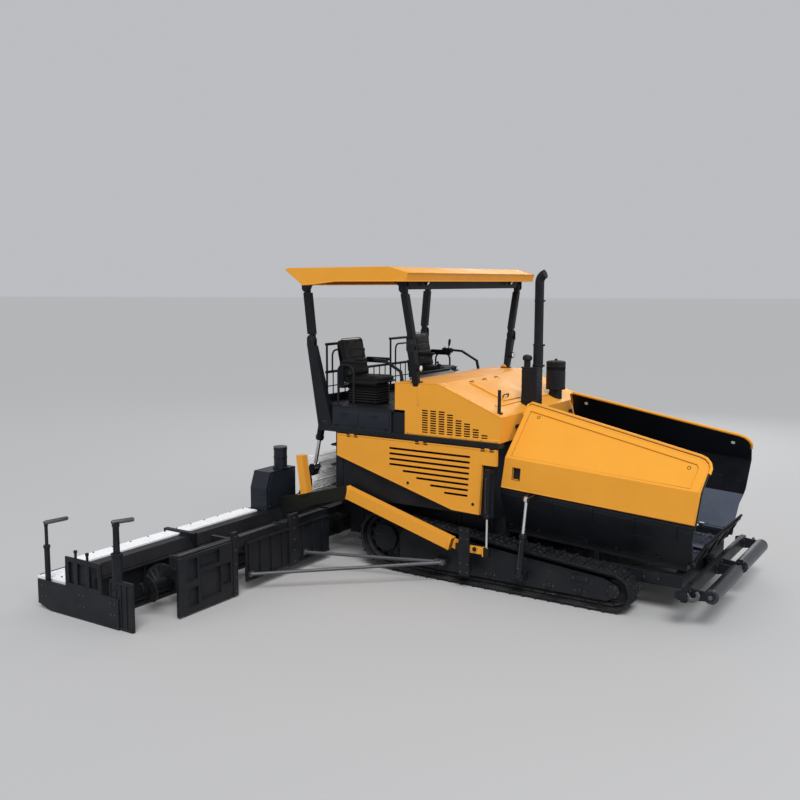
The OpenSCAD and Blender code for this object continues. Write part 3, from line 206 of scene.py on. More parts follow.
def rubbedGroup():
    # Bare places: along edges, and in scattered scratches and chips
    tree, ins, outs = newGroup("rubbed", [("Vector", "Vector", None), ("Edge", "Float", 0.0),
        ("Edge Amount", "Float", 0.4), ("Chips", "Float", 0.2), ("Scratches", "Float", 0.2)],
        [("Bare", "Float"), ("Scuff", "Float")])
    v = ins["Vector"]
    edgeNoise = ramp(tree, noise(tree, v, 14.0, 5.0, 0.7), 0.42, 0.62)
    edge = times(tree, times(tree, ins["Edge"], edgeNoise), ins["Edge Amount"])
    chipNoise = noise(tree, v, 38.0, 3.0, 0.6)
    chip = times(tree, ramp(tree, chipNoise, 0.7, 0.74), ins["Chips"])
    stretched = place(tree, "Mapping", {"Vector": v, "Rotation": (0.3, 0.5, 0.2),
        "Scale": (3.0, 42.0, 38.0)}).outputs["Vector"]
    scratch = times(tree, ramp(tree, noise(tree, stretched, 1.6, 3.0, 0.5), 0.68, 0.72), ins["Scratches"])
    bare = mathOf(tree, "MAXIMUM", edge, mathOf(tree, "MAXIMUM", chip, scratch), clamp=True)
    tree.links.new(bare, outs["Bare"])
    tree.links.new(ramp(tree, noise(tree, v, 2.3, 6.0, 0.65), 0.35, 0.75), outs["Scuff"])
    return tree


def roadDustGroup():
    # Pale road dust: thick near the ground, thin higher up and on what faces up
    tree, ins, outs = newGroup("roadDust", [("Vector", "Vector", None), ("Top", "Float", 0.9),
        ("Amount", "Float", 0.5), ("On Tops", "Float", 0.2)], [("Dust", "Float")])
    height = split(tree, ins["Vector"])["Z"]
    low = times(tree, ramp(tree, mathOf(tree, "DIVIDE", height, ins["Top"]), 1.0, 0.0), ins["Amount"])
    up = split(tree, place(tree, "NewGeometry").outputs["Normal"])["Z"]
    tops = times(tree, ramp(tree, up, 0.6, 1.0), ins["On Tops"])
    patches = ramp(tree, noise(tree, ins["Vector"], 3.1, 8.0, 0.7), 0.36, 0.66)
    tree.links.new(times(tree, mathOf(tree, "ADD", low, tops), patches, clamp=True), outs["Dust"])
    return tree


def grainGroup():
    # Fine height: orange peel in paint, pores in castings and rubber
    tree, ins, outs = newGroup("grain", [("Vector", "Vector", None), ("Scale", "Float", 120.0),
        ("Waves", "Float", 0.3)], [("Height", "Float")])
    fine = noise(tree, ins["Vector"], ins["Scale"], 2.0, 0.5)
    broad = noise(tree, ins["Vector"], 6.0, 3.0, 0.5)
    tree.links.new(mathOf(tree, "ADD", fine, times(tree, broad, ins["Waves"])), outs["Height"])
    return tree


softEdge = softEdgeGroup()
rubbed = rubbedGroup()
roadDust = roadDustGroup()
grain = grainGroup()


finish = {}
dustColour = (0.085, 0.08, 0.074)


def startMaterial(name):
    # Every material is kept in the dictionary of finishes by its name
    finish[name] = material = bpy.data.materials.new(name)
    material.use_nodes = True
    tree = material.node_tree
    shader = tree.nodes["Principled BSDF"]
    where = place(tree, "TexCoord").outputs["Object"]
    return tree, shader, where


def coated(name, paint, second, bareColour=(0.05, 0.05, 0.055), rough=0.35, roughSpread=0.18, edge=0.4,
        chips=0.25, scratches=0.15, dust=0.35, dustTop=0.9, onTops=0.12, grainScale=220.0, grainDepth=0.0006,
        radius=0.006, metal=0.0, specular=0.22, sheen=(1.0, 1.0, 1.0), zone=None, zoneColours=None):
    # A painted or plated surface with wear and dust; zone marks where a second paint lies
    tree, shader, where = startMaterial(name)
    soft = useGroup(tree, softEdge, {"Radius": radius})
    worn = useGroup(tree, rubbed, {"Vector": where, "Edge": soft["Edge"], "Edge Amount": edge, "Chips": chips,
        "Scratches": scratches})
    settled = useGroup(tree, roadDust, {"Vector": where, "Top": dustTop, "Amount": dust, "On Tops": onTops})
    colour = blendColour(tree, worn["Scuff"], paint, second)
    inZone = zone(tree, where) if zone else None
    if zone:
        colour = blendColour(tree, inZone, colour, blendColour(tree, worn["Scuff"], *zoneColours))
    colour = blendColour(tree, worn["Bare"], colour, bareColour)
    colour = blendColour(tree, settled["Dust"], colour, dustColour)
    tree.links.new(colour, shader.inputs["Base Color"])
    gloss = ramp(tree, worn["Scuff"], 0.0, 1.0, rough, rough + roughSpread)
    gloss = mathOf(tree, "ADD", gloss, times(tree, settled["Dust"], 0.4), clamp=True)
    tree.links.new(gloss, shader.inputs["Roughness"])
    if metal:
        metallic = ramp(tree, settled["Dust"], 0.0, 1.0, metal, 0.1)
        tree.links.new(times(tree, metallic, inZone) if zone else metallic, shader.inputs["Metallic"])
    shader.inputs["Specular IOR Level"].default_value = specular
    shader.inputs["Specular Tint"].default_value = (*sheen, 1)
    height = useGroup(tree, grain, {"Vector": where, "Scale": grainScale, "Waves": 0.4})["Height"]
    height = mathOf(tree, "SUBTRACT", height, times(tree, worn["Bare"], 0.8))
    addBump(tree, shader, {"Height": height, "Normal": soft["Normal"], "Distance": grainDepth,
        "Strength": 0.8})


def innerFloorZone(tree, where):
    # The inner face of a hopper wing below its fold, which the load rubs bare
    xyz = split(tree, where)
    normal = split(tree, place(tree, "TexCoord").outputs["Normal"])["Y"]
    inwards = times(tree, normal, mathOf(tree, "SIGN", xyz["Y"]))
    along = times(tree, xyz["X"], 0.0645)
    fold = mathOf(tree, "ADD", times(tree, xyz["Z"], 0.998), along)
    return times(tree, mathOf(tree, "LESS_THAN", fold, 1.187), ramp(tree, inwards, -0.1, -0.4), clamp=True)


def kneeZone(tree, where):
    # The tow arm's knee between the yellow beam and the yellow upright
    xyz = split(tree, where)
    behindBeam = mathOf(tree, "LESS_THAN", xyz["X"], -1.262)
    low = mathOf(tree, "LESS_THAN", mathOf(tree, "SUBTRACT", xyz["Z"], times(tree, xyz["X"], 0.28)), 1.395)
    behindUpright = mathOf(tree, "LESS_THAN", xyz["X"], -2.062)
    return times(tree, behindBeam, mathOf(tree, "MAXIMUM", low, behindUpright))


def blockZone(tree, where):
    # The tow block's ends, past its yellow middle
    along = split(tree, where)["X"]
    return mathOf(tree, "GREATER_THAN", mathOf(tree, "ABSOLUTE", mathOf(tree, "SUBTRACT", along, 0.575)),
        0.095)


# Paint, second paint and bare colour of what is yellow, and the two blacks
yellow = ((0.74, 0.318, 0.038), (0.7, 0.295, 0.034), (0.08, 0.06, 0.05))
black = ((0.005, 0.006, 0.0088), (0.0095, 0.0108, 0.0145))
yellowLook = {
    "rough": 0.42, "dust": 0.05, "dustTop": 0.6, "onTops": 0.0, "specular": 0.3,
    "sheen": (1.0, 0.86, 0.22),
}

coated("yellowPaint", *yellow, edge=0.18, chips=0.08, scratches=0.06, grainDepth=0.0004, **yellowLook)
coated("armPaint", *yellow, edge=0.2, chips=0.12, scratches=0.1, grainDepth=0.0004, **yellowLook,
    zone=kneeZone, zoneColours=black)
coated("blockPaint", *yellow, edge=0.2, chips=0.12, scratches=0.1, **yellowLook, zone=blockZone,
    zoneColours=black)
# Painted shade: a dark brown finish for the faces inside slots and holes and for the step under the wing's
# rim, where shade falls
coated("slotShade", (0.06, 0.026, 0.002), (0.04, 0.018, 0.002), (0.03, 0.02, 0.01), rough=0.6, edge=0.0,
    chips=0.0, scratches=0.0, dust=0.1)
coated("rollerSteel", (0.05, 0.054, 0.064), (0.075, 0.08, 0.092), (0.25, 0.25, 0.26), rough=0.28,
    roughSpread=0.12, edge=0.6, chips=0.3, scratches=0.9, dust=0.15, metal=0.85, grainScale=80.0,
    grainDepth=0.0008)
coated("wingSteel", *black, (0.07, 0.074, 0.082), rough=0.4, edge=0.5, chips=0.25, scratches=0.35, dust=0.22,
    onTops=0.0, metal=0.65, zone=innerFloorZone, zoneColours=((0.052, 0.064, 0.092), (0.082, 0.094, 0.118)))
coated("blackPaint", *black, (0.06, 0.064, 0.072), rough=0.38, edge=0.5, chips=0.3, scratches=0.25, dust=0.12,
    onTops=0.06)
coated("blueGreyPaint", (0.009, 0.012, 0.0185), (0.0135, 0.017, 0.024), (0.06, 0.064, 0.072), rough=0.34,
    edge=0.4, chips=0.2, scratches=0.2, dust=0.2, onTops=0.08)
coated("wornSteel", (0.052, 0.064, 0.092), (0.09, 0.1, 0.124), (0.3, 0.31, 0.33), rough=0.42,
    roughSpread=0.25, edge=0.8, chips=0.5, scratches=0.9, dust=0.35, metal=0.7, grainScale=90.0,
    grainDepth=0.0012)
coated("trackSteel", (0.0065, 0.0075, 0.01), (0.015, 0.0165, 0.019), (0.11, 0.11, 0.12), rough=0.5,
    roughSpread=0.25, edge=0.9, chips=0.5, scratches=0.7, dust=0.28, dustTop=0.6, metal=0.4, grainScale=70.0,
    grainDepth=0.0015)
coated("chromeRod", (0.8, 0.81, 0.83), (0.72, 0.74, 0.77), (0.5, 0.5, 0.52), rough=0.12, roughSpread=0.1,
    edge=0.0, chips=0.0, scratches=0.15, dust=0.05, metal=0.95, radius=0.002, grainDepth=0.0001)
coated("castSteel", (0.085, 0.09, 0.1), (0.13, 0.134, 0.142), (0.3, 0.3, 0.3), rough=0.4, roughSpread=0.2,
    edge=0.8, chips=0.5, scratches=0.8, dust=0.3, metal=0.6, grainScale=80.0, grainDepth=0.0012)
coated("whitePaint", (0.86, 0.87, 0.89), (0.74, 0.75, 0.77), (0.16, 0.16, 0.16), rough=0.5, edge=0.6,
    chips=0.2, scratches=0.3, dust=0.1, dustTop=0.5, onTops=0.05, grainScale=60.0)
coated("moulding", (0.0065, 0.0068, 0.008), (0.012, 0.0122, 0.0135), (0.03, 0.03, 0.03), rough=0.52, edge=0.1,
    chips=0.05, scratches=0.1, dust=0.0, onTops=0.06, grainScale=420.0, radius=0.004)
coated("rubber", (0.0055, 0.0055, 0.006), (0.012, 0.0115, 0.011), (0.03, 0.03, 0.03), rough=0.65, edge=0.2,
    chips=0.1, scratches=0.1, dust=0.35, grainScale=300.0, grainDepth=0.0008, radius=0.003)
coated("zincBolt", (0.05, 0.05, 0.052), (0.085, 0.084, 0.084), (0.22, 0.22, 0.22), rough=0.4, edge=0.6,
    chips=0.2, scratches=0.3, dust=0.25, metal=0.8, radius=0.001, grainDepth=0.0002)


def shieldSheet():
    # Crumpled pale sheet of the heat shield
    tree, shader, where = startMaterial("shieldSheet")
    folds = place(tree, "TexVoronoi", {"Vector": where, "Scale": 6.5, "Randomness": 1.0},
        feature="SMOOTH_F1").outputs["Distance"]
    creases = noise(tree, where, 9.0, 6.0, 0.6)
    height = mathOf(tree, "ADD", folds, times(tree, creases, 0.7))
    settled = useGroup(tree, roadDust, {"Vector": where, "Top": 0.9, "Amount": 0.1, "On Tops": 0.0})
    colour = blendColour(tree, ramp(tree, creases, 0.35, 0.7), (0.95, 0.95, 0.95), (0.86, 0.86, 0.87))
    tree.links.new(blendColour(tree, settled["Dust"], colour, (0.36, 0.33, 0.29)),
        shader.inputs["Base Color"])
    tree.links.new(ramp(tree, creases, 0.3, 0.7, 0.42, 0.62), shader.inputs["Roughness"])
    addBump(tree, shader, {"Height": height, "Distance": 0.035, "Strength": 0.7})


def seatVinyl():
    # Black seat cover: pebbled grain with a slightly paler rub where one sits
    tree, shader, where = startMaterial("seatVinyl")
    pebbles = place(tree, "TexVoronoi", {"Vector": where, "Scale": 260.0}, feature="F1").outputs["Distance"]
    rub = noise(tree, where, 5.0, 4.0, 0.6)
    tree.links.new(blendColour(tree, ramp(tree, rub, 0.35, 0.7), (0.006, 0.006, 0.0072),
        (0.013, 0.013, 0.0145)), shader.inputs["Base Color"])
    tree.links.new(ramp(tree, rub, 0.3, 0.7, 0.48, 0.62), shader.inputs["Roughness"])
    shader.inputs["Specular IOR Level"].default_value = 0.25
    addBump(tree, shader, {"Height": pebbles, "Distance": 0.001, "Strength": 0.7})


def lampLens():
    # Fluted clear lens over a bright reflector
    tree, shader, where = startMaterial("lampLens")
    flutes = place(tree, "TexWave", {"Vector": where, "Scale": 28.0, "Distortion": 0.4},
        bands_direction="Y").outputs["Fac"]
    tree.links.new(blendColour(tree, flutes, (0.55, 0.57, 0.6), (0.85, 0.87, 0.9)),
        shader.inputs["Base Color"])
    tree.links.new(ramp(tree, flutes, 0.0, 1.0, 0.08, 0.2), shader.inputs["Roughness"])
    shader.inputs["Coat Weight"].default_value = 0.8
    addBump(tree, shader, {"Height": flutes, "Distance": 0.002, "Strength": 0.6})


shieldSheet()
seatVinyl()
lampLens()

# CAD nodes by finish; every other node is black
nodeFinish = {
    "yellowPaint": ("engine_hood", "canopy_roof", "side_door_right", "side_door_left", "wing_skin_right",
        "wing_skin_left"),
    "blockPaint": ("tow_blocks",),
    "armPaint": ("tow_arm_right", "tow_arm_left"),
    "wingSteel": ("wing_right", "wing_left"),
    "blueGreyPaint": ("side_boxes", "drive_boxes"),
    "trackSteel": ("track_right", "track_left", "track_wheels", "auger_right", "auger_left"),
    "wornSteel": ("hopper_floor", "sole_plates"),
    "chromeRod": ("hopper_rod_right", "hopper_rod_left", "lift_rods"),
    "castSteel": ("engine_block", "auger_braces"),
    "rollerSteel": ("push_roller_right", "push_roller_left"),
    "whitePaint": ("walkways",),
    "shieldSheet": ("heat_shield",),
    "seatVinyl": ("seat_pad_right", "seat_pad_left"),
}


def paintFaces(node, name, test):
    # Gives a second finish to the faces that the test picks
    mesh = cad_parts[node].data
    mesh.materials.append(finish[name])
    for face in mesh.polygons:
        if test(face.center, face.normal):
            face.material_index = 1


def levellingRod(c, n):
    # Round faces close to the rod's own axis
    return math.hypot(c.x - 0.7, abs(c.y) - 1.33) < 0.018 and c.z > 0.53


# Faces inside the door's louvre slots, which get painted shade
def insideDoorSlots(c, n):
    return -0.72 < c.x < 0.44 and 1.05 < c.z < 1.6 and abs(n.y) < 0.5 and abs(c.y) < 1.249


# Faces inside the hood's grille holes, which get painted shade
def insideHoodHoles(c, n):
    return -0.3 < c.x < 0.7 and 1.76 < c.z < 2.08 and abs(n.y) < 0.5 and 1.19 < abs(c.y) < 1.2295


def fieldStep(c, n):
    # The sloping step at the top of the wing's recessed field, in the hopper's tilted frame; its faces get
    # painted shade for the shadow under the rim
    spot = Vector((c.x - 0.75, 0, c.z - 0.72))
    u, h = spot.x * 0.9979 - spot.z * 0.0645, spot.x * 0.0645 + spot.z * 0.9979
    return abs(n.y) < 0.35 and 0.07 < u < 2.19 and 0.87 < h < 1.385 and abs(h - 1.388 + 0.128 * u) < 0.03


def offTheFloor(c, n):
    return abs(c.y) > 0.775 or n.z < -0.5


def dressNodes():
    chosen = {node: name for name, nodes in nodeFinish.items() for node in nodes}
    for name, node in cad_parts.items():
        node.data.materials.clear()
        node.data.materials.append(finish[chosen.get(name, "blackPaint")])
    paintFaces("tow_blocks", "chromeRod", levellingRod)
    # Painted shade: the door slots, the hood holes and the step of the wing's field take the dark slotShade
    # finish
    for side in ("right", "left"):
        paintFaces("side_door_" + side, "slotShade", insideDoorSlots)
        paintFaces("wing_skin_" + side, "slotShade", fieldStep)
    paintFaces("engine_hood", "slotShade", insideHoodHoles)
    paintFaces("hopper_floor", "blackPaint", offTheFloor)


dressNodes()
print("paver: finishes placed on the CAD nodes")


def savePiece(name, bm, material, body, smooth=35):
    # Turns a finished bmesh into a piece that rides on a body
    bmesh.ops.remove_doubles(bm, verts=bm.verts, dist=0.00002)
    bmesh.ops.recalc_face_normals(bm, faces=bm.faces)
    mesh = bpy.data.meshes.new(name)
    bm.to_mesh(mesh)
    bm.free()
    mesh.polygons.foreach_set("use_smooth", [True] * len(mesh.polygons))
    mesh.set_sharp_from_angle(angle=radians(smooth))
    mesh.materials.append(finish[material])
    piece = newObject(name, mesh)
    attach(piece, body)


def roundEdges(bm, width, steps):
    bmesh.ops.bevel(bm, geom=bm.edges[:], offset=width, segments=steps, profile=0.6, affect="EDGES")


def joinInto(bm, part, matrix=None):
    # Copies a finished small bmesh into a bigger one
    if matrix is not None:
        bmesh.ops.transform(part, matrix=matrix, verts=part.verts)
    mesh = bpy.data.meshes.new("scratch")
    part.to_mesh(mesh)
    bm.from_mesh(mesh)
    bpy.data.meshes.remove(mesh)


def addPlate(bm, a, b, rounding=0.004, steps=2, matrix=None):
    # A plate between two opposite corners, with rounded edges
    part = bmesh.new()
    size = [max(abs(q - p), 0.0005) for p, q in zip(a, b)]
    middle = [(p + q) / 2 for p, q in zip(a, b)]
    bmesh.ops.create_cube(part, size=1.0, matrix=Matrix.Translation(middle) @ Matrix.Diagonal((*size, 1)))
    rounding = min(rounding, min(size) * 0.45)
    if rounding > 0:
        roundEdges(part, rounding, steps)
    joinInto(bm, part, matrix)
    part.free()


def addRib(bm, y, half, low, high, rounding, steps=2):
    # A plate across the machine: its middle and half width along Y, and two corners as x and z
    addPlate(bm, (low[0], y - half, low[1]), (high[0], y + half, high[1]), rounding, steps)


def addOutline(bm, outline, low, high, plane="xz", rounding=0.0, matrix=None):
    # A flat outline pushed to a thickness: plane xz along Y, yz along X, xy along Z
    order = {"xz": lambda a, b, t: (a, t, b), "yz": lambda a, b, t: (t, a, b), "xy": lambda a, b,
        t: (a, b, t)}[plane]
    part = bmesh.new()
    rings = [[part.verts.new(order(a, b, t)) for a, b in outline] for t in (low, high)]
    count = len(outline)
    part.faces.new(rings[0])
    part.faces.new(rings[1][::-1])
    for i in range(count):
        j = (i + 1) % count
        part.faces.new((rings[0][i], rings[1][i], rings[1][j], rings[0][j]))
    bmesh.ops.recalc_face_normals(part, faces=part.faces)
    if rounding:
        roundEdges(part, rounding, 2)
    joinInto(bm, part, matrix)
    part.free()


def cornerPath(points, radius, steps=5):
    # Straight runs with rounded corners, for bent tube rails
    points = [Vector(p) for p in points]
    path = [points[0]]
    for before, corner, after in zip(points, points[1:], points[2:]):
        r = min(radius, (corner - before).length * 0.49, (after - corner).length * 0.49)
        start = corner + (before - corner).normalized() * r
        end = corner + (after - corner).normalized() * r
        for k in range(steps + 1):
            t = k / steps
            path.append((1 - t) ** 2 * start + 2 * t * (1 - t) * corner + t * t * end)
    return [*path, points[-1]]


def joinRows(bm, a, b, closed=True):
    # Faces between two rows of vertices
    count = len(a)
    for k in range(count if closed else count - 1):
        m = (k + 1) % count
        bm.faces.new((a[k], a[m], b[m], b[k]))


def circle(count, radius, start=0.0):
    # Evenly spaced places on a circle, as pairs
    turns = [tau * (k + start) / count for k in range(count)]
    return [(radius * cos(a), radius * sin(a)) for a in turns]


def slopeFrame(run, up, x, z):
    # Axes along a slope, across the machine and out of the slope
    return Matrix(((run.x, 0, up.x, x), (0, 1, 0, 0), (run.z, 0, up.z, z), (0, 0, 0, 1)))


def addTube(bm, path, radius, sides=12, closed=False):
    # Sweeps a circle along a path; radius may change from point to point
    path = [Vector(p) for p in path]
    count = len(path)
    radii = radius if isinstance(radius, (list, tuple)) else [radius] * count
    tangents = []
    for i in range(count):
        a = path[(i - 1) % count] if closed or i else path[i]
        b = path[(i + 1) % count] if closed or i < count - 1 else path[i]
        tangents.append((b - a).normalized())
    normal = tangents[0].orthogonal().normalized()
    rings = []
    for i in range(count):
        normal = (normal - tangents[i] * normal.dot(tangents[i])).normalized()
        side = tangents[i].cross(normal)
        ring = []
        for k in range(sides):
            a = tau * k / sides
            ring.append(bm.verts.new(path[i] + (normal * cos(a) + side * sin(a)) * radii[i]))
        rings.append(ring)
    for i in range(count if closed else count - 1):
        joinRows(bm, rings[i], rings[(i + 1) % count])
    if not closed:
        bm.faces.new(rings[0][::-1])
        bm.faces.new(rings[-1])


def addLathe(bm, profile, matrix, sides=28):
    # profile: (radius, height) pairs turned round the matrix's Z
    rings = []
    for radius, height in profile:
        if radius < 1e-6:
            rings.append([bm.verts.new(matrix @ Vector((0, 0, height)))])
            continue
        rings.append([bm.verts.new(matrix @ Vector((a, b, height))) for a, b in circle(sides, radius)])
    for low, high in zip(rings, rings[1:]):
        for k in range(sides):
            m = (k + 1) % sides
            ring = [low[k % len(low)], low[m % len(low)], high[m % len(high)], high[k % len(high)]]
            ring = [v for i, v in enumerate(ring) if v not in ring[:i]]
            if len(ring) > 2:
                bm.faces.new(ring)
    for ring in (rings[0], rings[-1]):
        if len(ring) > 2:
            bm.faces.new(ring)


def band(radius, height, depth=0.012, edge=0.003):
    # The profile of a clamp band with rounded edges
    return [(radius - depth, 0), (radius, edge), (radius, height - edge), (radius - depth, height)]


def facing(point, direction):
    # Puts Z along a direction, at a point
    return Matrix.Translation(point) @ Vector(direction).to_track_quat("Z", "Y").to_matrix().to_4x4()


def addBolt(bm, point, direction, across=0.024, height=0.011):
    # Hexagon head with a rounded crown on a washer
    matrix = facing(point, direction)
    r = across / 2
    addLathe(bm, [(r * 1.35, 0), (r * 1.35, 0.0025), (r * 1.2, 0.003)], matrix, 12)
    addLathe(bm, [(r * 1.12, 0.002), (r * 1.12, height * 0.8), (r * 0.9, height), (0, height)], matrix, 6)


def boltPiece(name, body, bolts, material="zincBolt"):
    # bolts: point, direction, across flats
    bm = bmesh.new()
    for point, direction, across in bolts:
        addBolt(bm, Vector(point), direction, across, across * 0.45)
    savePiece(name, bm, material, body, 25)


def along(a, b, count):
    a, b = Vector(a), Vector(b)
    return [a.lerp(b, i / max(count - 1, 1)) for i in range(count)]


bothSides = ((-1, "right"), (1, "left"))


trackSettings = {
    "wheels": ((2.185, 0.24, 0.215), (-0.8, 0.4, 0.335), (-0.43, 0.175, 0.15)),  # x, z, line radius
    "middle": 1.1, "pitch": 0.16, "chainHalf": 0.055, "cheekOut": 0.096,
    "rollers": 7, "lastRoller": 1.795,
}


def trackLoop(s):
    wheels = [Vector(w) for w in s["wheels"]]

    def way(i):
        a, b = wheels[i], wheels[(i + 1) % 3]
        return math.atan2(b.y - a.y, b.x - a.x) + math.asin((a.z - b.z) / (b.xy - a.xy).length)

    arcs = [wheels[i].z * ((way(i) - way((i + 2) % 3)) % tau) for i in range(3)]
    runs = []
    for i in range(3):
        a, b = wheels[i], wheels[(i + 1) % 3]
        runs.append(math.sqrt((b.xy - a.xy).length ** 2 - (a.z - b.z) ** 2))
    count = round((sum(arcs) + sum(runs)) / s["pitch"])

    def spot(distance):
        for i in range(3):
            w, b = wheels[i], way(i)
            if distance < arcs[i]:
                a = way((i + 2) % 3) + distance / w.z
                return Vector((w.x + w.z * sin(a), w.y - w.z * cos(a)))
            distance -= arcs[i]
            if distance < runs[i] or i == 2:
                return Vector((w.x + w.z * sin(b) + distance * cos(b),
                    w.y - w.z * cos(b) + distance * sin(b)))
            distance -= runs[i]

    step = (sum(arcs) + sum(runs)) / count
    return [spot(i * step) for i in range(count)]


def makeTracks(s):
    loop = trackLoop(s)
    for side, word in bothSides:
        bolts, pins = [], bmesh.new()
        for a, b in zip(loop, loop[1:] + loop[:1]):
            forward = (b - a).normalized()
            out = Vector((forward.y, -forward.x))
            for share in (0.17, 0.76):
                for across in (-0.062, 0.062):
                    p = a.lerp(b, share + 0.035) + out * 0.0005
                    bolts.append(((p.x, side * (s["middle"] + across), p.y), (out.x, 0, out.y), 0.022))
            # Link side plates with their pins, on both sides of the chain
            middle = a - out * 0.045
            for face in (-1, 1):
                y = side * s["middle"] + face * s["chainHalf"]
                addLathe(pins, [(0.019, 0), (0.019, 0.009), (0.014, 0.012), (0, 0.012)],
                    facing((middle.x, y, middle.y), (0, face, 0)), 12)
                ends = [a.lerp(b, t) - out * 0.045 for t in (0.12, 0.88)]
                addTube(pins, [(e.x, y + face * 0.002, e.y) for e in ends], [0.02, 0.02], 8)
        boltPiece("shoeBolts." + word, "tractor", bolts, "trackSteel")
        savePiece("linkPins." + word, pins, "trackSteel", "tractor", 30)
    hubs = bmesh.new()
    bolts = []
    for side in (-1, 1):
        face = side * (s["middle"] + s["cheekOut"])
        first, last = s["wheels"][2][0], s["lastRoller"]
        for i in range(s["rollers"]):
            x = first + (last - first) * i / (s["rollers"] - 1)
            addLathe(hubs, [(0.036, 0), (0.036, 0.01), (0.024, 0.016), (0.01, 0.016), (0, 0.013)],
                facing((x, face, s["wheels"][2][1]), (0, side, 0)), 20)
            bolts += [((x + dx, face, s["wheels"][2][1]), (0, side, 0), 0.02) for dx in (-0.055, 0.055)]
        # Idler hub with its cap and ring of bolts
        x, z, _ = s["wheels"][0]
        addLathe(hubs, [(0.075, 0), (0.075, 0.012), (0.058, 0.018), (0.042, 0.018), (0.038, 0.026),
            (0, 0.026)], facing((x, face, z), (0, side, 0)), 32)
        bolts += [((x + dx, face + side * 0.014, z + dz), (0, side, 0), 0.016) for dx, dz in circle(6, 0.058)]
        # Grease tensioner cover
        addPlate(hubs, (1.7, face, 0.285), (1.9, face + side * 0.012, 0.355), 0.005)
        bolts += [((x, face + side * 0.012, 0.32), (0, side, 0), 0.016) for x in (1.72, 1.88)]
    savePiece("rollerHubs", hubs, "blackPaint", "tractor", 30)
    boltPiece("hubBolts", "tractor", bolts)
    # Ring of bolts and hub of each sprocket
    ring = bmesh.new()
    bolts = []
    x, z, _ = s["wheels"][1]
    for side in (-1, 1):
        face = side * (s["middle"] + s["chainHalf"] / 2)
        addLathe(ring, [(0.15, 0), (0.15, 0.02), (0.12, 0.034), (0.07, 0.034), (0.064, 0.05), (0, 0.052)],
            facing((x, face, z), (0, side, 0)), 36)
        bolts += [((x + dx, face + side * 0.026, z + dz), (0, side, 0), 0.02)
            for dx, dz in circle(12, 0.135, 0.5)]
    savePiece("sprocketHubs", ring, "blackPaint", "tractor", 30)
    boltPiece("sprocketBolts", "tractor", bolts)
    print("paver: tracks dressed,", len(loop), "shoes on each side")


makeTracks(trackSettings)


hoodSettings = {
    "halfWidth": 1.23, "rear": (-0.634, 2.37), "ridge": (-0.028, 2.387), "nose": (0.815, 2.047),
}


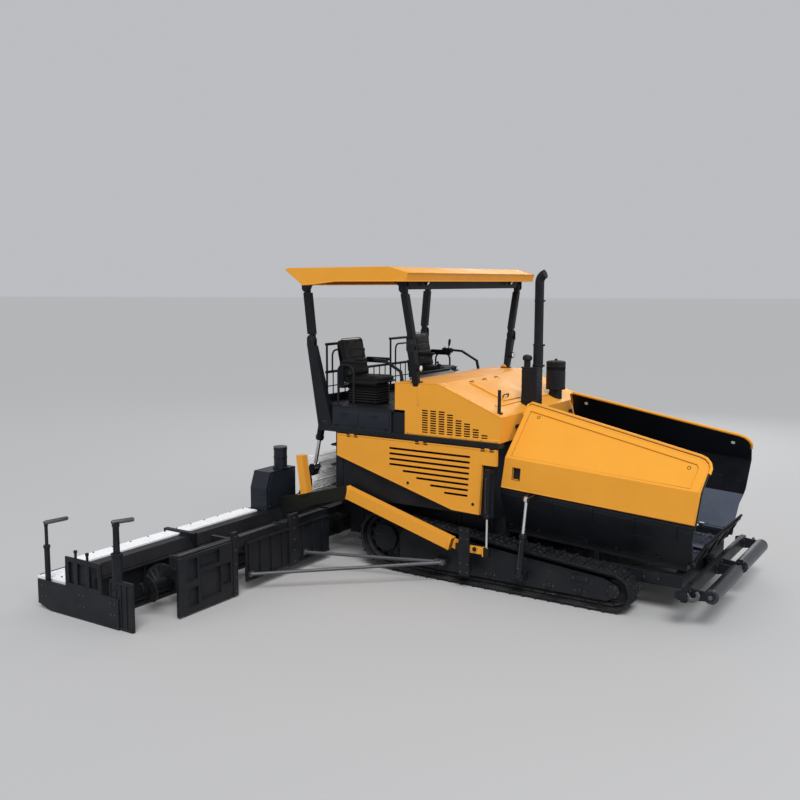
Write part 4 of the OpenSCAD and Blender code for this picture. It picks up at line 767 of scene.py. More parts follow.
def makeHood(s):
    half = s["halfWidth"]
    slope = Vector((s["nose"][0] - s["ridge"][0], 0, s["nose"][1] - s["ridge"][1]))
    run = slope.normalized()
    up = Vector((-run.z, 0, run.x))
    frameOf = slopeFrame(run, up, *s["ridge"])
    hatch = bmesh.new()
    addPlate(hatch, (0.1, -0.62, 0.0), (0.62, 0.16, 0.014), 0.006, 3, frameOf)
    addPlate(hatch, (0.66, -0.95, 0.0), (0.7, 0.95, 0.01), 0.004, 2, frameOf)
    # Folded seams where the hood's sheets meet
    for side in (-1, 1):
        addPlate(hatch, (-0.314, side * half - 0.003, 2.105), (-0.286, side * half + 0.003, 2.372), 0.002)
    addPlate(hatch, (-0.314, -half + 0.02, 2.378), (-0.286, half - 0.02, 2.384), 0.002)
    for side in (-1, 1):
        addTube(hatch, cornerPath([(-0.62, side * (half - 0.004), 2.366),
            (-0.028, side * (half - 0.004), 2.383), (0.811, side * (half - 0.004), 2.045)], 0.02), 0.007, 8)
        addPlate(hatch, (-0.47, side * half - 0.004, 1.75), (0.79, side * half + 0.004, 1.785), 0.003)
    savePiece("hoodHatch", hatch, "yellowPaint", "tractor", 30)
    # Lifting lugs on the top corners
    lugs = bmesh.new()
    x = -0.36
    for side in (-1, 1):
        y = side * (half - 0.06)
        outline = [(x - 0.055, 2.37), (x - 0.035, 2.41), (x - 0.015, 2.43), (x + 0.015, 2.43),
            (x + 0.035, 2.41), (x + 0.055, 2.376)]
        addOutline(lugs, outline, y - 0.008, y + 0.008, "xz", 0.003)
        for face in (-1, 1):
            addLathe(lugs, [(0.02, 0), (0.02, 0.003), (0.012, 0.003), (0.012, 0.001)],
                facing((x, y + face * 0.008, 2.405), (0, face, 0)), 20)
    savePiece("liftLugs", lugs, "yellowPaint", "tractor", 30)
    # Grab handles and the catches of the hatch
    steel = bmesh.new()
    for y in (-0.5, 0.04):
        feet = [frameOf @ Vector(p) for p in ((0.56, y - 0.07, 0.01), (0.56, y - 0.07, 0.055),
            (0.56, y + 0.07, 0.055), (0.56, y + 0.07, 0.01))]
        addTube(steel, cornerPath(feet, 0.025), 0.008, 10)
    for y in (-0.56, -0.23, 0.1):
        addTube(steel, [frameOf @ Vector((0.095, y + dy, 0.012)) for dy in (-0.04, 0.04)], 0.009, 12)
    # Upright marker at the right front corner
    x, y = 0.73, -1.12
    addTube(steel, [(x, y, 2.07), (x, y, 2.345), (x, y, 2.352)], [0.02, 0.02, 0.012], 14)
    addPlate(steel, (x - 0.035, y - 0.03, 2.07), (x + 0.035, y + 0.03, 2.09), 0.004)
    # Front catches under the nose
    for y in (-0.8, 0.8):
        addPlate(steel, (0.806, y - 0.05, 1.88), (0.822, y + 0.05, 1.92), 0.004)
        addTube(steel, [(0.818, y, 1.9), (0.838, y, 1.9), (0.838, y, 1.85)], 0.007, 8)
    savePiece("hoodFittings", steel, "blackPaint", "tractor", 30)
    bolts = []
    for side in (-1, 1):
        bolts += [(p, (0, side, 0), 0.013) for p in along((-0.44, side * (half + 0.004), 1.768),
            (0.76, side * (half + 0.004), 1.768), 7)]
        bolts += [(frameOf @ p, up, 0.013) for p in along((0.08, side * (half - 0.035), 0.0),
            (0.8, side * (half - 0.035), 0.0), 5)]
    bolts += [(frameOf @ Vector((u, y, 0.014)), up, 0.015) for y in (-0.58, -0.23, 0.12)
        for u in (0.13, 0.59)]
    boltPiece("hoodBolts", "tractor", bolts, "yellowPaint")
    # Mesh behind the grille holes
    mesh = bmesh.new()
    for side in (-1, 1):
        y = side * (half - 0.026)
        for p in along((-0.27, y, 1.77), (0.66, y, 1.77), 48):
            addTube(mesh, [p, (p.x, y, 2.09)], 0.0018, 5)
        for p in along((-0.27, y, 1.77), (-0.27, y, 2.09), 16):
            addTube(mesh, [p, (0.66, y, p.z)], 0.0018, 5)
    savePiece("grilleMesh", mesh, "blackPaint", "tractor", 60)
    print("paver: hood dressed")


makeHood(hoodSettings)


doorSettings = {
    "outline": [(-1.493, 1.67), (0.768, 1.67), (0.768, 1.478), (0.584, 1.48), (0.554, 0.883), (0.192, 0.894),
        (-1.5, 1.385)],
    "face": 1.25, "louvres": 8, "pitch": 0.0665, "top": 1.556, "slot": 0.026,
    "locks": [(-0.43, 1.15), (0.47, 1.0)],
}


def insetOutline(outline, width):
    # Moves each edge of a closed outline inwards
    points = [Vector(p) for p in outline]
    area = sum(a.x * b.y - b.x * a.y for a, b in zip(points, points[1:] + points[:1]))
    turn = 1 if area > 0 else -1
    moved = []
    for before, p, after in zip(points[-1:] + points, points, points[1:] + points[:1]):
        d1, d2 = (p - before).normalized(), (after - p).normalized()
        n1, n2 = Vector((-d1.y, d1.x)) * turn, Vector((-d2.y, d2.x)) * turn
        m = n1 + n2
        moved.append(p + m * (2 * width / m.dot(m)))
    return moved


def addRim(bm, outline, width, low, high, plane="xz"):
    # A raised flat rim round an outline
    order = {"xz": lambda p, t: (p[0], t, p[1]), "yz": lambda p, t: (t, p[0], p[1])}[plane]
    inner = insetOutline(outline, width)
    rings = [[bm.verts.new(order(p, t)) for p in line]
        for line, t in ((outline, low), (outline, high), (inner, high), (inner, low))]
    for a, b in zip(rings, rings[1:] + rings[:1]):
        joinRows(bm, a, b)


def makeDoors(s):
    for side, word in bothSides:
        body = "side_door_" + word
        face = side * s["face"]
        sheet = bmesh.new()
        addRim(sheet, s["outline"], 0.016, face - side * 0.001, face + side * 0.003)
        for i in range(s["louvres"]):
            z = s["top"] - i * s["pitch"]
            x0, x1 = -0.698 + max(0, i - 3) * 0.195, 0.425 - i * 0.004
            # Turned-out lip over each slot
            top = z + s["slot"] / 2
            outline = [(0.0, top + 0.006), (0.003, top + 0.005), (0.004, top + 0.001), (0.002, top),
                (0.0, top)]
            outline = [(face + side * a, b) for a, b in outline]
            addOutline(sheet, outline, x0 - 0.004, x1 + 0.004, "yz")
        savePiece("doorLouvres." + word, sheet, "yellowPaint", body, 30)
        locks = bmesh.new()
        for x, z in s["locks"]:
            at = facing((x, face, z), (0, side, 0))
            addLathe(locks, [(0.018, 0), (0.018, 0.004), (0.015, 0.007), (0.012, 0.007), (0.011, 0.003),
                (0, 0.003)], at, 24)
            addPlate(locks, (-0.008, -0.003, 0.002), (0.008, 0.003, 0.008), 0.001, 2, at)
        savePiece("doorLocks." + word, locks, "blackPaint", body, 30)
        bolts = []
        bolts += [((x + dx, face, 1.648), (0, side, 0), 0.014) for x in (-1.264, -0.244, 0.648)
            for dx in (-0.018, 0.018)]
        boltPiece("doorBolts." + word, body, bolts, "yellowPaint")
    print("paver: side doors dressed")


makeDoors(doorSettings)

# Seats on the platform, one on each side
seatSettings = {
    "middle": 0.83,
    "base": ((-1.53, -1.012), (2.302, 2.388), 0.222),  # x, z, half width
    "back": ((2.35, 2.862), 0.125, 0.24, -14.0, (-1.53, 2.345)),  # height, thickness, half width, lean, foot
    "voxel": 0.01, "pressure": 4.0, "frames": 20, "cap": 0.012,
}


def puff(piece, s):
    # Fills a cushion with the cloth solver, then limits how far it may swell
    remesh = piece.modifiers.new("remesh", "REMESH")
    remesh.mode = "VOXEL"
    remesh.voxel_size = s["voxel"]
    bakeShape(piece)
    before = [v.co.copy() for v in piece.data.vertices]
    cloth = piece.modifiers.new("cloth", "CLOTH")
    cloth.settings.use_pressure = True
    cloth.settings.uniform_pressure_force = s["pressure"]
    cloth.settings.effector_weights.gravity = 0.0
    cloth.settings.tension_stiffness = 18
    cloth.settings.compression_stiffness = 18
    scene = bpy.context.scene
    for f in range(1, s["frames"] + 1):
        scene.frame_set(f)
    bakeShape(piece)
    scene.frame_set(1)
    for v, start in zip(piece.data.vertices, before):
        move = v.co - start
        if move.length > s["cap"]:
            v.co = start + move.normalized() * s["cap"]
    smooth = piece.modifiers.new("smooth", "SUBSURF")
    smooth.levels = smooth.render_levels = 1
    bakeShape(piece)


def bakeShape(piece):
    # Replaces a piece's mesh by what its modifiers make of it
    bpy.context.view_layer.update()
    done = bpy.data.meshes.new_from_object(piece.evaluated_get(bpy.context.evaluated_depsgraph_get()))
    piece.modifiers.clear()
    old, piece.data = piece.data, done
    bpy.data.meshes.remove(old)


def sewChannels(mesh, test, depth=0.007, width=0.007):
    # Presses narrow valleys where test gives the distance to the nearest seam
    mesh.update()
    normals = [v.normal.copy() for v in mesh.vertices]
    for v, n in zip(mesh.vertices, normals):
        d = test(v.co)
        if d < 3 * width:
            v.co -= n * depth * math.exp(-(d / width) ** 2)


def cushion(name, half, thick, length, channels):
    # A slightly waisted block about its own middle, X along its length and Z out of its face
    bm = bmesh.new()
    bmesh.ops.create_cube(bm, size=1.0, matrix=Matrix.Diagonal((length - 0.02, 2 * half - 0.02, thick - 0.018,
        1)))
    roundEdges(bm, 0.028, 4)
    mesh = bpy.data.meshes.new(name)
    bm.to_mesh(mesh)
    bm.free()
    piece = newObject(name, mesh)
    puff(piece, seatSettings)

    def seam(p):
        if p.z < 0:
            return 1.0
        across = [abs(p.x - c * length) for c in channels]
        sides = abs(abs(p.y) - half * 0.68)
        return min(*across, sides) if abs(p.y) < half * 0.69 else sides

    sewChannels(piece.data, seam)
    for v in piece.data.vertices:
        # Sides pull in between the corners, and the crown rises in the middle
        v.co.y *= 1 - 0.035 * (1 - (2 * v.co.x / length) ** 2)
        if v.co.z > 0:
            v.co.z += 0.008 * (1 - (v.co.y / half) ** 2) * (1 - (2 * v.co.x / length) ** 2)
    return piece


def pipingLoop(bm, half, length, z, radius, matrix):
    corners = [(length / 2, half), (-length / 2, half), (-length / 2, -half), (length / 2, -half)]
    path = []
    for cx, cy in corners:
        inner = (cx - math.copysign(0.045, cx), cy - math.copysign(0.045, cy))
        start = math.degrees(math.atan2(cy, cx))
        first = round((start - 45) / 90) * 90
        for k in range(7):
            a = radians(first + 15 * k)
            path.append(matrix @ Vector((inner[0] + 0.045 * cos(a), inner[1] + 0.045 * sin(a), z)))
    addTube(bm, path, radius, 8, closed=True)


def makeSeats(s):
    (x0, x1), (z0, z1), baseHalf = s["base"]
    (b0, b1), backThick, backHalf, lean, foot = s["back"]
    baseLength, backLength = x1 - x0, b1 - b0
    baseAt = Matrix.Translation(((x0 + x1) / 2, 0, (z0 + z1) / 2)) @ turned(-1.2, "Y")
    backAt = (Matrix.Translation((foot[0], 0, foot[1])) @ turned(lean, "Y")
        @ Matrix.Translation((backThick * 0.5 - 0.005, 0, backLength / 2)) @ turned(90, "Y")
        @ turned(180, "Z"))
    base = cushion("seatBaseShape", baseHalf, z1 - z0, baseLength, (-0.16, 0.02, 0.2))
    back = cushion("seatBackShape", backHalf, backThick, backLength, (-0.22, -0.03, 0.16))
    for side, word in bothSides:
        seatAt = Matrix.Translation((0, side * s["middle"], 0))
        for label, shape, at in (("seatBase", base, baseAt), ("seatBack", back, backAt)):
            mesh = shape.data.copy()
            mesh.transform(seatAt @ at)
            mesh.update()
            mesh.polygons.foreach_set("use_smooth", [True] * len(mesh.polygons))
            mesh.materials.clear()
            mesh.materials.append(finish["seatVinyl"])
            piece = newObject(label + "." + word, mesh)
            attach(piece, "tractor")
            if label == "seatBase":
                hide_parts("seat_pad_" + word)
        piping = bmesh.new()
        pipingLoop(piping, baseHalf * 0.965, baseLength - 0.012, 0.024, 0.0045, seatAt @ baseAt)
        pipingLoop(piping, backHalf * 0.965, backLength - 0.012, 0.022, 0.0045, seatAt @ backAt)
        savePiece("seatPiping." + word, piping, "moulding", "tractor", 60)
        shell = bmesh.new()
        # Moulded pan under the base and shell behind the back
        pan = [(x0 - 0.02, z0 + 0.03), (x0 + 0.02, z0 - 0.006), (x1 - 0.06, z0 - 0.006),
            (x1 + 0.004, z0 + 0.018), (x1 - 0.004, z0 + 0.03)]
        y = side * s["middle"]
        addOutline(shell, pan, y - baseHalf + 0.004, y + baseHalf - 0.004, "xz", 0.004)
        rows = []
        for z, half, out in ((-0.02, 0.165, 0.012), (0.04, 0.205, 0.022), (0.16, 0.224, 0.028),
                (0.32, 0.222, 0.028), (0.44, 0.204, 0.022), (0.492, 0.165, 0.012)):
            row = []
            for k in range(13):
                t = -1 + k / 6
                dip = out * (1 - abs(t) ** 3)
                row.append(turned(lean, "Y") @ Vector((-0.004 - dip, half * t, z)))
            rows.append([shell.verts.new(Vector((foot[0], y, foot[1])) + p) for p in row])
        for a, b in zip(rows, rows[1:]):
            joinRows(shell, a, b, closed=False)
        rim = [row[0] for row in rows] + rows[-1][1:-1] + [row[-1]
            for row in rows[::-1]] + rows[0][1:-1][::-1]
        addTube(shell, [v.co.copy() for v in rim], 0.006, 8, closed=True)
        # Recliner plates at the joint of base and back
        for face in (-1, 1):
            yy = y + face * (baseHalf - 0.004)
            plate = [(-1.6, 2.31), (-1.47, 2.31), (-1.45, 2.345), (-1.54, 2.4), (-1.575, 2.47),
                (-1.615, 2.47)]
            addOutline(shell, plate, yy - 0.006, yy + 0.006, "xz", 0.003)
            addLathe(shell, [(0.022, 0), (0.022, 0.012), (0.016, 0.017), (0, 0.017)],
                facing((-1.56, yy + face * 0.004, 2.365), (0, face, 0)), 20)
        savePiece("seatShell." + word, shell, "moulding", "tractor", 40)
        # Arm-rest pads, and the bellows round the suspension
        pads = bmesh.new()
        for face in (-1, 1):
            yy = y + face * 0.262
            addPlate(pads, (-1.5, yy - 0.032, 2.562), (-1.15, yy + 0.032, 2.602), 0.016, 4)
        bellows = bmesh.new()
        folds = 7
        low, high = 2.045, 2.272
        rings = []
        for i in range(2 * folds + 1):
            z = low + (high - low) * i / (2 * folds)
            out = 0.022 if i % 2 else 0.004
            rings.append([bellows.verts.new((px, py, z)) for px, py in roundedBox(-1.5 - out, -1.08 + out,
                y - 0.15 - out, y + 0.15 + out, 0.03)])
        for a, b in zip(rings, rings[1:]):
            joinRows(bellows, a, b)
        savePiece("armRestPads." + word, pads, "seatVinyl", "tractor", 60)
        savePiece("seatBellows." + word, bellows, "rubber", "tractor", 20)
        # Lever console on the outer arm rest, with stick and grip
        stick = bmesh.new()
        yy = y + side * 0.262
        addPlate(stick, (-1.3, yy - 0.045, 2.6), (-1.165, yy + 0.045, 2.63), 0.01, 3)
        addTube(stick, [(-1.215, yy, 2.628), (-1.205, yy, 2.668)], 0.007, 10)
        addLathe(stick, [(0.0, 0.0), (0.012, 0.002), (0.017, 0.03), (0.019, 0.07), (0.017, 0.095),
            (0.0, 0.104)], facing((-1.206, yy, 2.66), (0.14, 0, 1)), 16)
        for k in range(3):
            addTube(stick, [(-1.275, yy - 0.024 + 0.024 * k, 2.628), (-1.279, yy - 0.024 + 0.024 * k, 2.645)],
                [0.0035, 0.005], 8)
        savePiece("armConsole." + word, stick, "moulding", "tractor", 40)
    for shape in (base, back):
        mesh = shape.data
        bpy.data.objects.remove(shape)
        bpy.data.meshes.remove(mesh)
    print("paver: seats made")


def roundedBox(x0, x1, y0, y1, r, steps=4):
    path = []
    for cx, cy, start in ((x1 - r, y1 - r, 0), (x0 + r, y1 - r, 90), (x0 + r, y0 + r, 180),
            (x1 - r, y0 + r, 270)):
        for k in range(steps + 1):
            a = radians(start + 90 * k / steps)
            path.append((cx + r * cos(a), cy + r * sin(a)))
    return path


makeSeats(seatSettings)

deskSettings = {
    "half": 0.47, "rear": (-0.88, 2.33), "crest": (-0.82, 2.39), "front": (-0.67, 2.31),
    "dials": [(-0.33, 0.034), (-0.23, 0.034), (0.0, 0.042), (0.23, 0.034), (0.33, 0.034)],
}


def makeDesk(s):
    slope = Vector((s["crest"][0] - s["rear"][0], 0, s["crest"][1] - s["rear"][1]))
    run = slope.normalized()
    up = Vector((-run.z, 0, run.x))
    middle = Vector(((s["rear"][0] + s["crest"][0]) / 2, 0, (s["rear"][1] + s["crest"][1]) / 2))
    face = slopeFrame(run, up, middle.x, middle.z)
    body, dials, marks = bmesh.new(), bmesh.new(), bmesh.new()
    addPlate(body, (-0.06, -0.45, -0.004), (0.06, 0.45, 0.016), 0.006, 3, face)
    for y, r in s["dials"]:
        at = face @ Matrix.Translation((0.004, y, 0.014))
        addLathe(dials, [(r + 0.006, 0), (r + 0.006, 0.008), (r, 0.01), (r - 0.002, 0.004), (0, 0.004)], at,
            28)
        for k in range(9):
            a = radians(-130 + 260 * k / 8)
            tip = at @ Matrix.Rotation(a, 4, "Z")
            addPlate(marks, (-0.0008, r * 0.7, 0.0045), (0.0008, r * 0.88, 0.0055), 0, 1, tip)
        addPlate(marks, (-0.0012, -0.004, 0.005), (0.0012, r * 0.62, 0.0065), 0, 1,
            at @ Matrix.Rotation(0.7, 4, "Z"))
    for k in range(14):
        y = -0.13 + 0.02 * k
        addTube(dials, [face @ Vector((-0.04, y, 0.014)), face @ Vector((-0.044, y, 0.03))], [0.003, 0.0045],
            8)
    # Service covers on the desk's front, and its side caps
    for y in (-0.235, 0.235):
        addPlate(body, (-0.668, y - 0.2, 2.08), (-0.658, y + 0.2, 2.27), 0.004)
    for side in (-1, 1):
        cap = insetOutline([(-0.88, 2.035), s["rear"], s["crest"], s["front"], (-0.67, 2.035)], 0.012)
        y = side * s["half"]
        addOutline(body, [tuple(p) for p in cap], min(y, y + side * 0.006), max(y, y + side * 0.006), "xz",
            0.002)
    savePiece("deskPanel", body, "moulding", "tractor")
    savePiece("deskDials", dials, "blackPaint", "tractor")
    savePiece("deskMarks", marks, "whitePaint", "tractor")
    grips = bmesh.new()
    for side in (-1, 1):
        # Rotary travel grips on short columns
        top = Vector((-0.905, side * 0.3, 2.435))
        addTube(grips, [(-0.85, side * 0.3, 2.36), top], 0.014, 12)
        addLathe(grips, [(0.0, 0.0), (0.03, 0.004), (0.034, 0.016), (0.03, 0.028), (0.012, 0.036),
            (0.012, 0.05), (0.02, 0.058), (0.016, 0.072), (0, 0.076)], facing(top, (-0.45, 0, 1)), 24)
    savePiece("deskGrips", grips, "moulding", "tractor", 40)
    bolts = [(face @ Vector((u, y, 0.016)), up, 0.01) for u in (-0.05, 0.05)
        for y in (-0.43, -0.15, 0.15, 0.43)]
    boltPiece("deskScrews", "tractor", bolts)
    print("paver: control desk made")


makeDesk(deskSettings)

railSettings = {"x": -1.778, "low": 2.03, "middle": 2.42, "top": 2.78, "thin": 0.0075}


def makeRails(s):
    rails, feet, bolts = bmesh.new(), bmesh.new(), []
    for low, high in ((-1.08, -0.42), (0.42, 1.08), (-0.42, 0.42)):
        count = 5 if high - low > 0.7 else 4
        for p in along((s["x"], low, s["low"]), (s["x"], high, s["low"]), count + 2)[1:-1]:
            addTube(rails, [p, (p.x, p.y, s["middle"])], s["thin"], 8)
        addTube(rails, [(s["x"], low, 2.235), (s["x"], high, 2.235)], s["thin"], 8)
    # Rounded loops that stand on the middle rail behind each seat
    for side in (-1, 1):
        a, b = side * 0.52, side * 0.99
        loop = [(s["x"] + 0.02, a, s["middle"]), (s["x"] + 0.02, a, 2.7), (s["x"] + 0.02, b, 2.7),
            (s["x"] + 0.02, b, s["middle"])]
        addTube(rails, cornerPath(loop, 0.09, 8), 0.012, 12)
        # Entry hand rail on each side of the platform
        y = side * 1.215
        entry = [(-1.5, y, 2.03), (-1.5, y, 2.54), (-1.26, y, 2.54), (-1.26, y, 2.03)]
        addTube(rails, cornerPath(entry, 0.1, 8), 0.013, 14)
        for x in (-1.5, -1.26):
            addPlate(feet, (x - 0.045, y - 0.03, 2.03), (x + 0.045, y + 0.03, 2.04), 0.003)
            bolts += [((x + dx, y, 2.04), (0, 0, 1), 0.014) for dx in (-0.032, 0.032)]
    for y in (-1.08, -0.42, 0.42, 1.08):
        addPlate(feet, (s["x"] - 0.018, y - 0.05, 2.03), (s["x"] + 0.05, y + 0.05, 2.042), 0.003)
        bolts += [((s["x"] + 0.028, y + dy, 2.042), (0, 0, 1), 0.014) for dy in (-0.034, 0.034)]
    # Kick plate round the platform
    addPlate(feet, (-1.797, -1.1, 2.03), (-1.789, 1.1, 2.13), 0.003)
    savePiece("railTubes", rails, "blackPaint", "tractor", 40)
    savePiece("railFeet", feet, "blackPaint", "tractor", 30)
    boltPiece("railBolts", "tractor", bolts)
    # Raised tread bars on the platform floor
    tread = bmesh.new()
    for i in range(26):
        for k in range(11):
            x, y = -1.745 + 0.08 * k, -1.1 + 0.088 * i
            if abs(abs(y) - 0.83) < 0.19 and -1.53 < x < -1.05:
                continue
            turn = 45 if (i + k) % 2 else -45
            at = Matrix.Translation((x, y, 2.03)) @ turned(turn, "Z")
            addOutline(tread, [(-0.022, 0), (-0.01, 0.006), (0.01, 0.006), (0.022, 0), (0.01, -0.006),
                (-0.01, -0.006)], 0.0, 0.003, "xy", 0, at)
    savePiece("floorTread", tread, "blackPaint", "tractor", 30)
    # Lids, seams, handles and latches of the side boxes
    lids, latch = bmesh.new(), bmesh.new()
    for side in (-1, 1):
        y = side * 1.25
        for x0, x1 in ((-1.56, -1.17), (-1.15, -0.7)):
            addPlate(lids, (x0, y, 1.775), (x1, y + side * 0.006, 1.975), 0.004)
            middle = (x0 + x1) / 2
            grip = [(middle - 0.05, y + side * 0.004, 1.93), (middle - 0.05, y + side * 0.026, 1.93),
                (middle + 0.05, y + side * 0.026, 1.93), (middle + 0.05, y + side * 0.004, 1.93)]
            addTube(latch, cornerPath(grip, 0.012), 0.005, 8)
            for x in (x0 + 0.05, x1 - 0.05):
                addTube(latch, [(x - 0.025, y + side * 0.008, 1.778), (x + 0.025, y + side * 0.008, 1.778)],
                    0.007, 10)
    savePiece("boxLids", lids, "blueGreyPaint", "tractor", 30)
    savePiece("boxLatches", latch, "blackPaint", "tractor", 40)
    print("paver: rails and platform dressed")


makeRails(railSettings)

canopySettings = {
    "half": 1.7,
    "sideTop": [(-1.947, 3.726), (-1.9, 3.744), (-0.42, 3.756), (-0.16, 3.686)],
    "sideLow": [(-0.185, 3.591), (-1.18, 3.586), (-1.5, 3.551), (-1.68, 3.541)],
    "posts": ((-1.79, 1.362, 1.456), (-0.333, 1.318, 1.49)), "fold": 2.85, "pin": 3.52,
}


def makeCanopy(s):
    rim, beads = bmesh.new(), bmesh.new()
    for side in (-1, 1):
        y = side * (s["half"] - 0.003)
        addTube(rim, [(x, y, z + 0.003) for x, z in s["sideLow"]], 0.008, 10)
    for x, z in (s["sideLow"][0], s["sideLow"][-1]):
        addTube(rim, [(x, -s["half"] + 0.003, z + 0.003), (x, s["half"] - 0.003, z + 0.003)], 0.008, 10)
    # Pressed beads along the top, and a drip edge round it
    for k in range(7):
        y = -1.35 + 0.45 * k
        path = [(-1.8, y, 3.746), (-1.74, y, 3.7464), (-0.62, y, 3.7548), (-0.56, y, 3.755)]
        addTube(beads, path, [0.001, 0.004, 0.004, 0.001], 10)
    for side in (-1, 1):
        addTube(beads, [(x, side * (s["half"] - 0.01), z - 0.001) for x, z in s["sideTop"]], 0.006, 8)
    for x, z in (s["sideTop"][0], s["sideTop"][-1]):
        addTube(beads, [(x + 0.004, -s["half"] + 0.01, z), (x + 0.004, s["half"] - 0.01, z)], 0.006, 8)
    savePiece("canopyRim", rim, "yellowPaint", "canopy", 40)
    savePiece("canopyBeads", beads, "yellowPaint", "canopy", 40)
    # Cover plates with pin caps over the canopy's hinges
    for level, body, z in ((1, "tractor", s["fold"]), (2, "canopy", s["pin"])):
        caps = bmesh.new()
        for post in s["posts"]:
            for side in (-1, 1):
                y = side * (post[level] + 0.041)
                addLathe(caps, [(0.03, 0), (0.03, 0.006), (0.024, 0.012), (0.012, 0.012), (0, 0.01)],
                    facing((post[0], y, z), (0, side, 0)), 20)
                half = 0.056
                cover = [(-half, -0.075), (-half * 0.6, -0.1), (half * 0.6, -0.1), (half, -0.075),
                    (half, 0.03), (half * 0.55, 0.062), (-half * 0.55, 0.062), (-half, 0.03)]
                if level == 2:
                    cover = [(a, -b) for a, b in cover]
                lo, hi = sorted((y - side * 0.001, y + side * 0.006))
                addOutline(caps, [(post[0] + a, z + b) for a, b in cover], lo, hi, "xz", 0.002)
        savePiece("pinCaps." + body, caps, "blackPaint", body)
    # Work lamps under the front rim and on the front stands
    cases, lenses, rims = bmesh.new(), bmesh.new(), bmesh.new()
    aim = (1, 0, -0.45)
    for p in ((-0.245, -1.12, 3.575), (-0.245, 1.12, 3.575)):
        at = facing(p, aim)
        shape = [(0.0, -0.04), (0.022, -0.036), (0.036, -0.016), (0.04, 0.004), (0.04, 0.02), (0.035, 0.022)]
        addLathe(cases, shape + [(0.034, 0.012)], at, 28)
        addLathe(lenses, [(0.0345, 0.01), (0.024, 0.015), (0.0, 0.018)], at, 28)
        p = Vector(p)
        addTube(cases, [p - Vector(aim).normalized() * 0.03, (p.x - 0.03 * aim[0], p.y, p.z + 0.06)], 0.009,
            8)
    savePiece("lampCases", cases, "moulding", "canopy", 40)
    savePiece("lampLenses", lenses, "lampLens", "canopy", 60)
    glass = bmesh.new()
    for side in (-1, 1):
        at = facing((-0.2555, side * 1.245, 2.56), (1, 0, 0))
        addLathe(rims, [(0.043, -0.014), (0.043, 0.004), (0.037, 0.006), (0.036, 0.0)], at, 28)
        addLathe(glass, [(0.037, 0.0), (0.026, 0.005), (0.0, 0.008)], at, 28)
    savePiece("standLampRims", rims, "blackPaint", "tractor", 40)
    savePiece("standLampLenses", glass, "lampLens", "tractor", 60)
    # Small relay box with its cover under the roof's front edge
    box = bmesh.new()
    addPlate(box, (-0.47, -1.215, 3.545), (-0.365, -1.085, 3.605), 0.01, 3)
    addPlate(box, (-0.48, -1.205, 3.552), (-0.355, -1.095, 3.562), 0.004)
    savePiece("relayBox", box, "moulding", "canopy")
    # Bolted feet of the front and rear stands
    straps, bolts = bmesh.new(), []
    for x, y, z in ((-1.686, 1.21, 1.745), (-0.336, 1.203, 2.384)):
        for side in (-1, 1):
            bolts += [((x + dx * 0.4, side * (y + 0.046), z + 0.06), (0, side, 0.3), 0.018)
                for dx in (-0.05, 0.05)]
            addPlate(straps, (x - 0.06, side * y - 0.045, z - 0.002), (x + 0.06, side * y + 0.045, z + 0.012),
                0.003)
    savePiece("standFeet", straps, "blackPaint", "tractor")
    boltPiece("standBolts", "tractor", bolts)
    print("paver: canopy dressed")


makeCanopy(canopySettings)

stackSettings = {
    "muffler": (0.745, -0.275), "half": (0.102, 0.0975), "stack": (0.803, -0.233), "cleaner": (0.68, 0.6),
}


def makeStack(s):
    x, y = s["muffler"]
    halfX, halfY = s["half"]
    rings, guard = bmesh.new(), bmesh.new()
    # Pressed cover of the muffler: lid, bands and cooling slots
    for z0, z1, out in ((2.14, 2.16, 0.004), (2.5, 2.518, 0.004), (2.544, 2.56, 0.006)):
        outer = roundedBox(x - halfX - out, x + halfX + out, y - halfY - out, y + halfY + out, 0.03)
        addOutline(guard, outer, z0, z1, "xy", 0.002)
    for z in [2.44 - 0.028 * k for k in range(6)]:
        for side in (-1, 1):
            addPlate(guard, (x - 0.064, y + side * (halfY - 0.002), z - 0.004),
                (x + 0.064, y + side * (halfY + 0.004), z + 0.004), 0.002)
            addPlate(guard, (x + side * (halfX - 0.002), y - 0.06, z - 0.004),
                (x + side * (halfX + 0.004), y + 0.06, z + 0.004), 0.002)
    # Breather with its domed cap beside the stack
    addLathe(guard, [(0.04, 0.0), (0.04, 0.085), (0.056, 0.095), (0.06, 0.12), (0.048, 0.148), (0.022, 0.16),
        (0, 0.162)], Matrix.Translation((x - 0.05, y - 0.035, 2.548)), 32)
    x, y = s["stack"]
    for z, r, h in ((2.575, 0.067, 0.03), (2.825, 0.0655, 0.028), (3.36, 0.0595, 0.026)):
        addLathe(rings, band(r, h), Matrix.Translation((x, y, z - h / 2)), 40)
        addPlate(rings, (x + r - 0.006, y - 0.016, z - h / 2 + 0.003),
            (x + r + 0.016, y + 0.016, z + h / 2 - 0.003), 0.003)
    savePiece("stackClamps", rings, "blackPaint", "tractor", 40)
    savePiece("mufflerGuard", guard, "blackPaint", "tractor", 40)
    x, y = s["cleaner"]
    bowl = bmesh.new()
    for z, r, h in ((2.205, 0.129, 0.02), (2.3, 0.117, 0.01), (2.43, 0.118, 0.016)):
        addLathe(bowl, band(r, h, 0.01), Matrix.Translation((x, y, z)), 40)
    for k in range(36):
        at = Matrix.Translation((x, y, 0)) @ Matrix.Rotation(tau * k / 36, 4, "Z")
        addPlate(bowl, (0.1, -0.002, 2.448), (0.124, 0.002, 2.49), 0.0008, 1, at)
    addLathe(bowl, [(0.126, 0), (0.128, 0.01), (0.11, 0.022), (0.05, 0.03), (0.02, 0.031), (0.018, 0.048),
        (0.008, 0.052), (0, 0.052)], Matrix.Translation((x, y, 2.545)), 40)
    savePiece("precleanerFins", bowl, "moulding", "tractor")
    print("paver: exhaust and air cleaner dressed")


makeStack(stackSettings)

